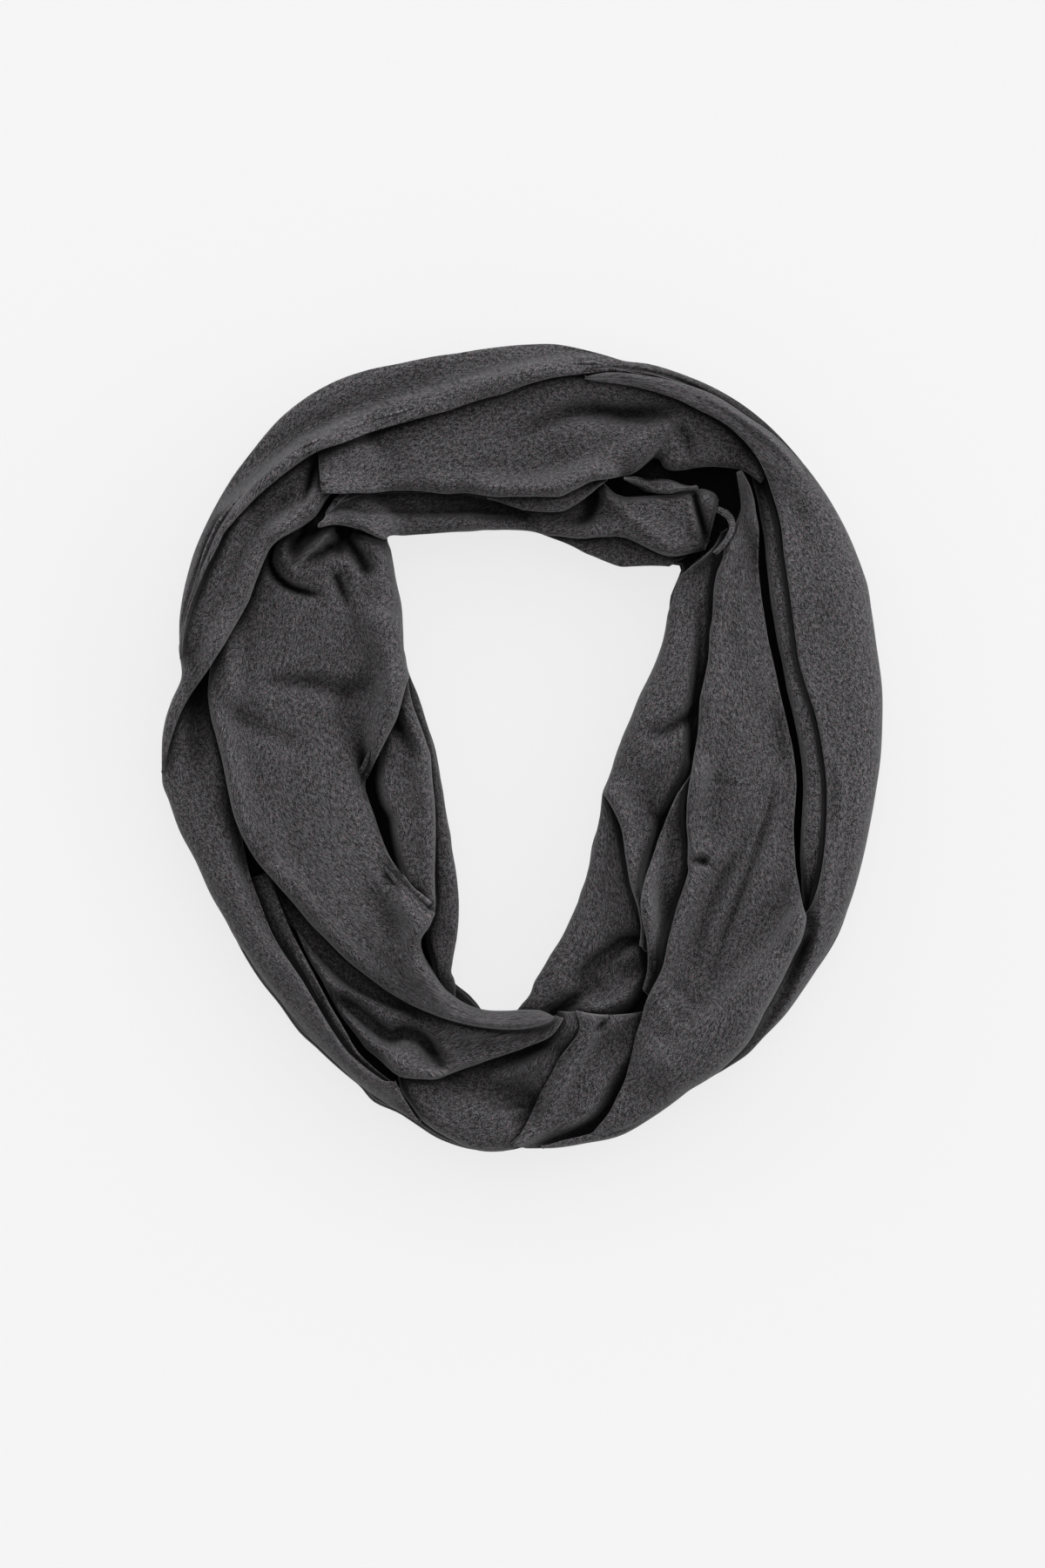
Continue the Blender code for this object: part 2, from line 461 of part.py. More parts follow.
class Wall:
    """One stretch of cloth: an outer skin, and an inner skin one cloth wall inside it."""

    def __init__(self, plan, heap):
        self.plan = plan
        stretch = plan.stretch
        bed = heap.bed()[heap.cells(plan.x, plan.y)]
        body = np.stack((plan.x, plan.y, bed + CLOTH_GAP + plan.rise()), axis=2)
        first = self.hook(body[:, 0], body[:, 1], stretch.inner_roll)
        last = self.hook(body[:, -1], body[:, -2], stretch.outer_roll)[:, ::-1]
        self.hooks = (first.shape[1], last.shape[1])
        self.outer = np.concatenate((first, body, last), axis=1)
        self.settle(heap)

    def hook(self, edge, inside, full_roll):
        """Points of the cloth that turns under at a rolled edge, from its end up to the edge."""
        if not full_roll:
            return np.zeros((len(edge), 0, 3))
        roll = self.plan.roll(full_roll)
        inward = inside[:, :2] - edge[:, :2]
        inward = inward / np.linalg.norm(inward, axis=1)[:, None]
        points = []
        for turn in HOOK_TURNS:
            angle = np.radians(turn) * (0.15 + 0.85 * self.plan.ample)
            place = edge.copy()
            place[:, :2] += inward * (roll * (1.0 - np.cos(angle)))[:, None]
            place[:, 2] -= roll * np.sin(angle)
            points.append(place)
        return np.stack(points, axis=1)

    def inner(self):
        """The inner skin, one wall in from the outer skin along its normals."""
        along = np.gradient(self.outer, axis=0)
        across = np.gradient(self.outer, axis=1)
        normal = np.cross(across, along)
        normal /= np.linalg.norm(normal, axis=2)[:, :, None]
        middle = normal.shape[1] // 2
        facing = np.sign(normal[:, middle, 2].mean())
        return self.outer - CLOTH_WALL * facing * normal

    def skins(self):
        """All points of both skins, and the triangles of each skin."""
        points = np.concatenate((self.outer.reshape(-1, 3), self.inner().reshape(-1, 3)))
        stations, columns = self.outer.shape[:2]
        faces = grid_faces(stations, columns)
        return points, np.concatenate((faces, faces + stations * columns))

    def samples(self):
        """Places spread over every triangle of both skins, and the triangles."""
        points, faces = self.skins()
        corners = points[faces]
        longest = np.linalg.norm(corners - np.roll(corners, 1, axis=1), axis=2).max()
        weights = spread_weights(int(math.ceil(longest / (0.8 * CELL))))
        return np.einsum("wk,tkc->twc", weights, corners), faces

    def settle(self, heap):
        """Lifts the wall until every place on it clears the heap, and lets it down to rest."""
        top = widened(heap.height, 1)
        stations, columns = self.outer.shape[:2]
        for _ in range(4):
            places, faces = self.samples()
            short = top[heap.cells(places[..., 0], places[..., 1])] + CLOTH_GAP - places[..., 2]
            short = np.maximum(short.max(axis=1), 0.0)
            if short.max() < 0.00002:
                break
            need = np.zeros(2 * stations * columns)
            for corner in range(3):
                np.maximum.at(need, faces[:, corner], short)
            lift = need.reshape(2, stations, columns).max(axis=0)
            self.share_hooks(lift)
            self.outer[:, :, 2] += lift
        places, _ = self.samples()
        clear = (places[..., 2] - top[heap.cells(places[..., 0], places[..., 1])]).min()
        self.outer[:, :, 2] -= max(clear - CLOTH_GAP, 0.0)
        places, _ = self.samples()
        heap.add(places.reshape(-1, 3))

    def share_hooks(self, lift):
        """A rolled edge keeps its shape, so its points all rise as far as the highest."""
        first, last = self.hooks
        if first:
            lift[:, :first + 1] = lift[:, :first + 1].max(axis=1)[:, None]
        if last:
            lift[:, -last - 1:] = lift[:, -last - 1:].max(axis=1)[:, None]

    def solid(self):
        """Points and triangles of the closed wall."""
        points, faces = self.skins()
        stations, columns = self.outer.shape[:2]
        inner_start = stations * columns
        rim = list(range(columns))
        rim += [row * columns + columns - 1 for row in range(1, stations)]
        rim += [(stations - 1) * columns + column for column in range(columns - 2, -1, -1)]
        rim += [row * columns for row in range(stations - 2, 0, -1)]
        skin = [tuple(face) for face in faces[:len(faces) // 2]]
        skin += [tuple(face[::-1]) for face in faces[len(faces) // 2:]]
        for here, there in zip(rim, rim[1:] + rim[:1]):
            skin.append((there, here, here + inner_start))
            skin.append((there, here + inner_start, there + inner_start))
        return points, skin


def hidden_layers():
    """Points and triangles of the rounded solid that stands for all the hidden layers."""
    profile = hidden_profile()
    points = []
    for deg in np.linspace(0.0, 360.0, HIDDEN_STATIONS, endpoint=False):
        inner = float(outline(deg, "inner_mm"))
        outer = float(outline(deg, "outer_mm"))
        for side, inset, height in profile:
            out = inner + inset if side == "inner" else outer - inset
            if side == "middle":
                out = 0.5 * (inner + outer)
            x, y = ring_point(deg, out)
            points.append((x, y, height))
    columns = len(profile)
    faces = []
    for station in range(HIDDEN_STATIONS):
        following = (station + 1) % HIDDEN_STATIONS
        for column in range(columns):
            beside = (column + 1) % columns
            a = station * columns + column
            b = station * columns + beside
            c = following * columns + beside
            d = following * columns + column
            faces += [(a, c, b), (a, d, c)]
    return np.array(points), faces


def hidden_profile():
    """Half outline of the hidden layers on each side, as side, inset and height."""
    waist = 0.0022
    bulge = 0.0008
    layer = HIDDEN_LAYER
    side = [(0.0030, 0.0)]
    for number in range(HIDDEN_LAYERS):
        base = number * layer
        inset = bulge + number * 0.0010
        side += [(inset, base + 0.3 * layer), (inset, base + 0.7 * layer), (inset + waist, base + layer)]
    side.append((0.0110, HIDDEN_LAYERS * layer + 0.6 * HIDDEN_CROWN))
    top = [("middle", 0.0, HIDDEN_LAYERS * layer + HIDDEN_CROWN)]
    outer = [("outer", inset, height) for inset, height in side]
    inner = [("inner", inset, height) for inset, height in reversed(side)]
    return outer + top + inner


def face_samples(points, faces):
    """Places spread over the triangles of a solid."""
    corners = points[np.array(faces)]
    longest = np.linalg.norm(corners - np.roll(corners, 1, axis=1), axis=2).max()
    weights = spread_weights(int(math.ceil(longest / (0.8 * CELL))))
    return np.einsum("wk,tkc->twc", weights, corners).reshape(-1, 3)


def jersey(name, shade):
    """Matt charcoal jersey of the given shade."""
    material = bpy.data.materials.new(name + "_jersey")
    material.use_nodes = True
    shader = material.node_tree.nodes["Principled BSDF"]
    shader.inputs["Base Color"].default_value = (shade, 0.97 * shade, shade, 1.0)
    shader.inputs["Roughness"].default_value = 0.95
    shader.inputs["Metallic"].default_value = 0.0
    return material


def add_piece(name, shade, points, faces):
    """One named object with its own material."""
    mesh = bpy.data.meshes.new(name)
    mesh.from_pydata([tuple(point) for point in points], [], [tuple(int(i) for i in face) for face in faces])
    mesh.materials.append(jersey(name, shade))
    mesh.shade_smooth()
    piece = bpy.data.objects.new(name, mesh)
    bpy.context.scene.collection.objects.link(piece)
    return piece


def main():
    """Lays the hidden layers first, then each stretch on the heap below it."""
    for leftover in list(bpy.data.objects):
        bpy.data.objects.remove(leftover, do_unlink=True)
    heap = Heap()
    points, faces = hidden_layers()
    add_piece("hidden_layers", 0.050, points, faces)
    heap.add(face_samples(points, faces))
    for stretch in STRETCHES:
        wall = Wall(Plan(stretch), heap)
        add_piece(stretch.name, stretch.shade, *wall.solid())


main()
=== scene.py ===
"""Infinity scarf of charcoal heather jersey: one long tube of cloth, wound twice and laid flat.

Each stretch of cloth that shows is a thin shell of its own. A shell spans two edges, is rolled
under where the cloth is folded, and is laid on the pile of stretches below it. Its creases are
soft troughs and ridges placed one by one.

Places on the scarf are given in ring coordinates: an angle in degrees round an oval spine,
counted from +X towards +Y, and a distance in millimetres outwards from that spine. Angles of a
stretch that passes +X run on past 360.
"""
import json
import math
from collections import namedtuple

import bpy
import numpy as np
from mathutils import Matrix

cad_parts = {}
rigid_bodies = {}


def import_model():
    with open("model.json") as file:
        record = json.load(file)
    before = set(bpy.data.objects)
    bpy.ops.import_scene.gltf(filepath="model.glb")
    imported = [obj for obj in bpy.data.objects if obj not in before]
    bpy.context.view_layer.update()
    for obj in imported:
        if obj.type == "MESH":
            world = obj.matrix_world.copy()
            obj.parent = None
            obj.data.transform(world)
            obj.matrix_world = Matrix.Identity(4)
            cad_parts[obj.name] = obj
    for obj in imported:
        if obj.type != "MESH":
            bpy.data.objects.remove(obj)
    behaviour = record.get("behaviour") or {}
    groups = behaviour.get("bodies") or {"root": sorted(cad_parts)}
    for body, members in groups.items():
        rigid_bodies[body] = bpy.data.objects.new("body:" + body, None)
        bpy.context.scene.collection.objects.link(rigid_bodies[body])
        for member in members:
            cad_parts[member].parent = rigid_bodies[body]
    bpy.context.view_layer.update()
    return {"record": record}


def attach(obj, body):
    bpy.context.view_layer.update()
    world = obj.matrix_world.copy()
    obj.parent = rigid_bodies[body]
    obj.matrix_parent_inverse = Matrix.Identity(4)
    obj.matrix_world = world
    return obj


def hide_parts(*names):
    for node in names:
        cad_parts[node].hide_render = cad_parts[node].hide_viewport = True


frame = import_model()

bl_info = {
    "name": "Infinity scarf",
    "version": (1, 0, 0),
    "blender": (4, 5, 0),
    "location": "3D View > Sidebar > Scarf",
    "description": "Lays out a charcoal jersey infinity scarf, stretch by stretch",
    "category": "Add Mesh",
}

MM = 0.001

# The oval spine that the scarf is wound round, in metres.
SPINE_HALF_WIDTH = 0.117
SPINE_HALF_LENGTH = 0.163
SPINE_CENTRE = (0.002, -0.005)

# The gap between two stretches, and how a narrow end thins out, in metres.
CLOTH_GAP = 0.0004
NARROW_ROLL = 0.0015
NARROW_FROM = 0.004
NARROW_TO = 0.011

# What is left of a rolled edge's turn at a narrow end, and of its lift where it slopes away softly.
LEAST_TURN = 0.15
LEAST_LIFT = 0.35

# How far off, and in how many directions, folds are looked for that shut a place off from the sky, for the shade
# painted into the colour of hollows.
SKY_REACHES = (0.001, 0.002, 0.003, 0.0045, 0.0065, 0.009, 0.013, 0.018, 0.025)
SKY_TURNS = 12

# Degrees round a rolled edge at which the cloth turned under it has points, from its end up.
HOOK_TURNS = (165.0, 135.0, 105.0, 78.0, 52.0, 26.0)

STATION_SPACING = 0.0015
COLUMN_SPACING = 0.0011
LEAST_STATIONS = 8
LEAST_COLUMNS = 9
LINE_STEPS = 400
CREASE_STEPS = 64
NEARLY_NOTHING = 1e-6

# The plan grid that holds the height of the pile, and the smooth bed over its gaps, in metres.
CELL = 0.0005
PLAN_HALF = (0.200, 0.222)
BRIDGE = 0.004
BLUR = 0.003
LEAST_FILL = 1e-3

# How a shell is lifted clear of the pile: rounds, metres that are near enough, and cells of spread.
SETTLE_ROUNDS = 5
NEAR_ENOUGH = 0.00005
LIFT_SPREAD = 3
LIFT_BLUR = 2

# Unevenness of the cloth: seed of the draw, and metres of softness along it and across it.
BROAD_RIPPLES = (4, 0.014, 0.008)
SMALL_RIPPLES = (9, 0.005, 0.0028)
LAYER_RIPPLES = (2, 0.010, 0.004)

# The hidden layers at the bottom of the pile.
HIDDEN_LAYER = 0.006
HIDDEN_LAYERS = 2
HIDDEN_CROWN = 0.002
HIDDEN_STATIONS = 360

# Edges and creases are placed as seen from this far up, so cloth above the level is drawn in.
SIGHT_HEIGHT = 3.0
SIGHT_LEVEL = 0.010

# The jersey's noises: cells per metre along and across it, detail and roughness.
FLECKS = ((1100.0, 1500.0, 1.0), 1.0, 0.6)
FIBRES = ((2400.0, 2900.0, 1.0), 1.0, 0.6)
CLUMPS = ((420.0, 620.0, 1.0), 1.0, 0.5)
CLOUDS = ((45.0, 80.0, 1.0), 2.0, 0.5)
WARMTH = ((520.0, 700.0, 1.0), 0.0, 0.5)
NOISE_MIDDLE = 0.5

# The darkest fibre, the warm fibres, and the painted shade of a hollow: how far its colour is darkened by the share
# of sky that it sees.
DARKEST = 0.12
WARM_FROM = 0.62
WARM_TO = 0.74
WARM_SHARE = 0.6
PAINTED_SHADE_LEAST = 0.25
PAINTED_SHADE_FROM = 0.42
PAINTED_SHADE_TO = 0.78

# What the nap's height is made of, and how it catches the light.
NAP_WALES = 0.30
NAP_FLECKS = 0.9
NAP_FIBRES = 0.5
NAP_CLUMPS = 0.6
NAP_STRENGTH = 0.5
NAP_DEPTH = 0.0003
ROUGH_BASE = 0.88
ROUGH_FIBRES = 0.12
SHINE = 0.10
SHEEN_ROUGHNESS = 0.45
SHEEN_TINT = (0.75, 0.75, 0.77, 1.0)

# How much of the table glows, and between which heights of the tent low light gives way to high.
FLOOR_GLOW = 0.82
TENT_LOW_TO = 0.30
TENT_HIGH_FROM = 0.65

# A place of an edge that says: follow the outline of the whole scarf.
RIM = None

# A soft trough, or a ridge where its depth is negative: how wide it is on its left and right, and its
# places as degrees, millimetres out and millimetres deep.
Crease = namedtuple("Crease", "left_mm right_mm places")

# A stretch of cloth. Edges and crest are degrees and millimetres. Shoulders, over which the cloth climbs
# to its crest, and rolls, the radius of an edge folded under, are metres. An open end, first or last,
# comes down onto what it lies on. At the degrees of firm, the inner roll stands firm (1) or is soft (0).
Stretch = namedtuple(
    "Stretch", "name inner_shoulder outer_shoulder inner outer crest inner_roll outer_roll open_end creases firm",
    defaults=(0.0, 0.0, None, (), ((0, 1), (1, 1))))

# Outline of the whole scarf from above, as degrees and millimetres: the neck hole and the rim.
NECK = (
    (0, -72), (5, -68.5), (10, -63), (15, -57), (20, -48.5), (25, -40), (30, -33), (35, -27), (37, -22),
    (39.7, -16), (41, -19), (43, -25), (46, -34), (48, -39), (52, -43), (55, -45), (60, -47.3), (65, -48.3),
    (75, -49.3), (85, -48.5), (95, -47.5), (105, -45), (110, -42.5), (115, -39.5), (120, -34.5), (125, -28),
    (130, -19), (133, -12.5), (135, -18), (140, -28), (145, -37), (150, -42.5), (155, -47), (159, -51.5),
    (165, -60), (170, -65), (175, -69), (180, -71.5), (185, -73.5), (190, -74.3), (200, -74), (205, -72.5),
    (210, -71), (215, -68.5), (220, -65), (225, -60), (230, -53), (235, -43), (237.5, -38), (240, -37),
    (245, -36.5), (250, -34.5), (254, -32), (260, -33), (265, -34.5), (268, -39), (272, -44), (275, -50),
    (280, -54.5), (285, -58), (290, -61), (300, -65), (310, -69), (320, -72), (330, -75), (336, -76.5), (345, -77),
    (350, -77.5), (355, -75))
OUTER_RIM = (
    (0, 62), (5, 63.5), (10, 65), (15, 65.5), (20, 67), (25, 69), (30, 69), (36, 68.3), (45, 65.8), (50, 64.3),
    (55, 62), (60, 58.8), (65, 55), (70, 51.3), (75, 47), (80, 46.7), (85, 47), (90, 46), (95, 45.5), (100, 46),
    (105, 48.5), (110, 52), (115, 57.5), (120, 62.5), (125, 66), (130, 68), (135, 68.5), (140, 69.5), (150, 70),
    (155, 69), (160, 67), (165, 63), (168.5, 60), (172, 63.5), (175, 66), (178, 67), (183, 67), (186, 64),
    (190, 60.5), (195, 54.5), (200, 51), (205, 47), (210, 45.3), (215, 43.5), (220, 40.5), (225, 39), (229, 36.5),
    (235, 35), (238, 34.5), (242, 36.8), (247, 35), (250, 35.5), (255, 37.5), (260, 38.5), (265, 37), (268, 35),
    (270, 33.5), (275, 34.5), (280, 35), (287, 37), (293, 36), (300, 35.5), (305, 38.5), (308, 40.5), (312, 44),
    (315, 45), (320, 48), (325, 50), (330, 52.5), (335, 55), (340, 56.5), (345, 57.5), (350, 58.5), (355, 60))

# The stretches, lowest first.
UNDER_FOLDS = (
    Stretch(
        name="left_inner_edge", inner_roll=0.0024, inner_shoulder=0.007, outer_shoulder=0.004,
        inner=((150, -38), (159, RIM), (236, RIM), (243, -30)),
        outer=((150, -28), (159, -45), (165.6, -49), (172.6, -59), (180, -64.5), (190.8, -66.2), (200.6, -63.2),
            (209.6, -58.4), (216.3, -53.8), (220.7, -47), (224, -40), (231, -34), (236, -28), (243, -22)),
        crest=((150, 0.2), (160, 1.5), (170, 4), (231, 4.5), (243, 3))),
    Stretch(
        name="top_under_fold", inner_roll=0.0022, inner_shoulder=0.006, outer_shoulder=0.006,
        inner=((41, RIM), (81, RIM)),
        outer=((41, -8), (46, -12), (53, -18), (58, -31), (62, -38), (67, -41), (72, -43), (81, -44)),
        crest=((41, 2.5), (60, 3), (72, 2.5), (81, 2))),
    Stretch(
        name="right_lower_roll", inner_roll=0.0028, inner_shoulder=0.012, outer_shoulder=0.007,
        inner=((262, -28), (267, RIM), (351, RIM)),
        outer=((262, -18), (267, -22), (275, -22), (287, -16), (300, -14), (310, -18), (316, -27), (320, -32),
            (323.8, -39.5), (328.8, -48.5), (335.4, -56), (342, -62), (346.6, -68), (351, -73)),
        crest=((262, 3), (267, 5), (275, 6), (287, 7), (300, 7), (312, 7.5), (322, 8.5), (333, 8), (343, 6),
            (351, 4)),
        creases=(
            Crease(5, 3, ((317.9, -34.8, 6), (314.8, -40.4, 9), (310.4, -42.9, 10), (305.4, -44.5, 10),
                (300, -45, 8), (295.9, -44.1, 5), (290, -42, 0))),
            Crease(7, 7, ((318, -26, 3), (312.5, -24.4, 6), (309.5, -28, 6), (305.6, -33.6, 6), (299.7, -32.4, 5),
                (294, -30, 0))),
            Crease(4, 4, ((302, -38, 0), (298.9, -37.3, 6), (293.4, -36.4, 8), (287.4, -34.7, 9),
                (281.2, -32.5, 8))),
            Crease(2.5, 2.5, ((289.2, -26.7, 0), (296.4, -25, -3), (302.7, -21.6, -3), (306.9, -17.4, 0))),
        )),
    Stretch(
        name="left_inner_roll", inner_roll=0.0028, inner_shoulder=0.010, outer_shoulder=0.0055,
        inner=((150, -38), (159, -51), (163, -54), (167, -57.5), (172, -63), (176, -66.5), (180, -69), (190, -69.5),
            (195, -68.5), (200, -66.5), (205, -63.5), (210, -59.8), (214.5, -56.4), (218, -53.3), (220.5, -48.5),
            (222.2, -42), (224, -37.5), (227, -35), (232, -33), (240, -30.5), (257, -30)),
        outer=((150, -25), (159, -40), (168, -43), (174, -42), (180.2, -41.4), (185.7, -40.3), (189.9, -41.7),
            (193.7, -44.5), (198.4, -44), (205.5, -43), (209.4, -41), (213.5, -39), (217, -37.5), (222, -34),
            (226, -30), (230, -27.5), (240, -24.5), (257, -24)),
        crest=((150, 0.2), (159, 3), (168, 6), (176, 9), (188, 9.5), (200, 10), (207, 11), (216, 11), (221, 8),
            (225, 5), (232, 4), (257, 3)),
        creases=(
            Crease(3, 4, ((168, -47, 0), (171.8, -51.8, 5), (174.7, -55.4, 4), (178.1, -60.2, 3), (182, -63.3, 0))),
        )),
)

LOWER_LEFT = (
    Stretch(
        name="bottom_panel", inner_shoulder=0.010, outer_roll=0.0030, outer_shoulder=0.010, open_end="last",
        inner=((240, 10), (244, 9), (248, 5), (252, 0), (256, -6), (262, -13.5), (270.8, -20.5), (278, -25.5),
            (281, -29.5), (283, -33)),
        outer=((242.6, 18.5), (243.5, 20.4), (244.4, 23.7), (246.2, 25.9), (248.2, 28.4), (251.4, 32.5),
            (256.5, 35.2), (261.8, 37.3), (266, 35.8), (268.5, 32.8), (270.5, 28), (272.5, 19), (274.8, 10),
            (277.4, 1.8), (280.5, -6.5), (284, -12), (288, -17), (290.5, -22), (291, -28)),
        crest=((240, 6), (244, 8), (250, 9), (262, 10), (270, 9), (276, 8), (281, 7), (283, 5)),
        creases=(
            Crease(9, 9, ((250.7, 11.1, 4), (256.7, 4, 8), (264.1, 5.6, 10), (270.2, 10.4, 11), (271.5, 13.6, 10),
                (269.3, 19.2, 6), (266.8, 23.9, 0))),
            Crease(5, 5, ((252.4, 3.9, 4), (259.7, -6.1, 6), (269, -13.8, 7), (276.6, -18.6, 6),
                (282.4, -24.2, 4))),
            Crease(3, 3, ((257.7, 3.3, 0), (261.1, -0.9, -2), (266.5, -3.9, -2.5), (271.4, -8.9, -2.5),
                (276.2, -14.5, -2.5), (281.1, -20.9, -2), (285.9, -26.1, 0))),
        )),
    Stretch(
        name="bottom_right_panel", inner_shoulder=0.010, outer_shoulder=0.015, open_end="last",
        inner=((267.3, 32), (269.3, 25.8), (271.5, 14.9), (273.4, 6.3), (276.2, -1.9), (279.5, -9.6),
            (283.3, -14.5), (286, -18), (288, -22), (289, -30)),
        outer=((270, 33.8), (275.5, 34), (281, 33.5), (284.5, 31), (287.5, 27), (290, 23), (292.5, 18.5), (295, 16),
            (297.5, 14), (300, 11), (303, 7), (306, 2), (308, -5)),
        crest=((267.3, 3), (271, 7), (274, 9), (280, 10), (289, 7)),
        creases=(
            Crease(2, 2, ((290, -17, 0), (292.8, -17.5, 5), (295, -18.1, 6), (297.4, -18.3, 6), (301.7, -17.4, 3),
                (304.1, -16.1, 0))),
            Crease(4, 4, ((295.3, 3.3, 0), (292.3, 10.8, 4), (289.1, 17.1, 10), (286, 23.2, 12), (282.5, 27.4, 12),
                (278.2, 28.9, 10), (274.1, 31.2, 8), (270.6, 33.3, 4))),
            Crease(2.5, 2.5, ((271.2, 32, 0), (275.9, 27, -1.5), (279.4, 24.2, -2), (283.2, 21.5, -2),
                (286.2, 18.7, -1.5), (288.9, 14, 0))),
        )),
    Stretch(
        name="lower_left_fold", inner_shoulder=0.005, outer_roll=0.0024, outer_shoulder=0.006,
        inner=((200, 14), (206, 9), (212, 3.5), (218, -1.5), (224, -7), (230, -11.5), (236, -15.5), (242, -19.5),
            (250, -24), (260, -27.2), (270.8, -29), (276, -30), (281.5, -31.5)),
        outer=((200, 21), (206.6, 17.2), (210.4, 15.6), (215.4, 15.7), (219.4, 15.3), (222.7, 16), (227.9, 17.4),
            (231.6, 17.8), (234.8, 18.8), (237.5, 18.4), (242.2, 19), (243.5, 18.4), (245, 16.5), (247.2, 13.5),
            (249.5, 10.5), (252, 4.5), (254.8, -1.1), (261.8, -10.7), (270.8, -17.7), (278.1, -21.4), (281.5, -25),
            (284, -28.5)),
        crest=((200, 3), (206, 6), (212, 9), (224, 9), (233, 9), (242, 9), (249, 9), (265, 8), (275, 6), (284, 4)),
        creases=(
            Crease(5, 5, ((198, 26, 8), (203, 19, 14), (208, 13, 14), (213.4, 9, 14), (218, 5.5, 14),
                (222.8, 1.5, 14), (227, -3, 14), (231, -6.5, 12), (236, -10.8, 9), (241, -14, 5), (247, -17, 0))),
            Crease(2.2, 2.2, ((210.9, 15.7, 0), (213.7, 16, -1.5), (217.3, 15.3, -2), (220.1, 13.2, -2.5),
                (222.8, 10, -2.5), (225.8, 4.8, -2.5), (230, -1.1, -2.5), (234.9, -5.5, -2), (238.9, -9.2, 0))),
            Crease(4.2, 4.2, ((222.4, 15.6, 0), (224.7, 12.5, 8), (227.5, 10.2, 11), (230.5, 8.8, 12),
                (233.7, 7.8, 12), (236.8, 5.5, 12), (238.2, 0, 12), (240.5, -2.8, 12), (243.2, -3, 12),
                (246.3, -0.8, 10), (248.8, 1.8, 6))),
            Crease(1.1, 1.1, ((242.9, 19, 0), (244.7, 16.2, 1.2), (246, 13.3, 1.2), (247.2, 9.5, 0))),
            Crease(4, 4, ((226.6, 16.5, 0), (233.1, 15.5, -1.5), (239.4, 13.5, -1.5), (244.7, 10, 0))),
        )),
    Stretch(
        name="left_strip", inner_roll=0.0020, inner_shoulder=0.004, outer_shoulder=0.004,
        inner=((199, 20), (204.6, 18.7), (209.7, 18.1), (213.6, 17.4), (216.9, 17.2), (221.3, 17.8), (224, 18.5),
            (227.6, 19.5), (230.2, 20.7), (233.2, 22.5), (235.3, 23.1), (238.3, 23.2), (241.9, 23.3),
            (243.5, 23.4)),
        outer=((199, 33), (206, 31), (210, 29.5), (215, 28.5), (220, 27.5), (225, 28), (232, 29), (240, 28),
            (244, 26)),
        crest=((199, 0.1), (206, 0.4), (212, 2.5), (220, 5), (232, 6), (243.5, 3))),
)

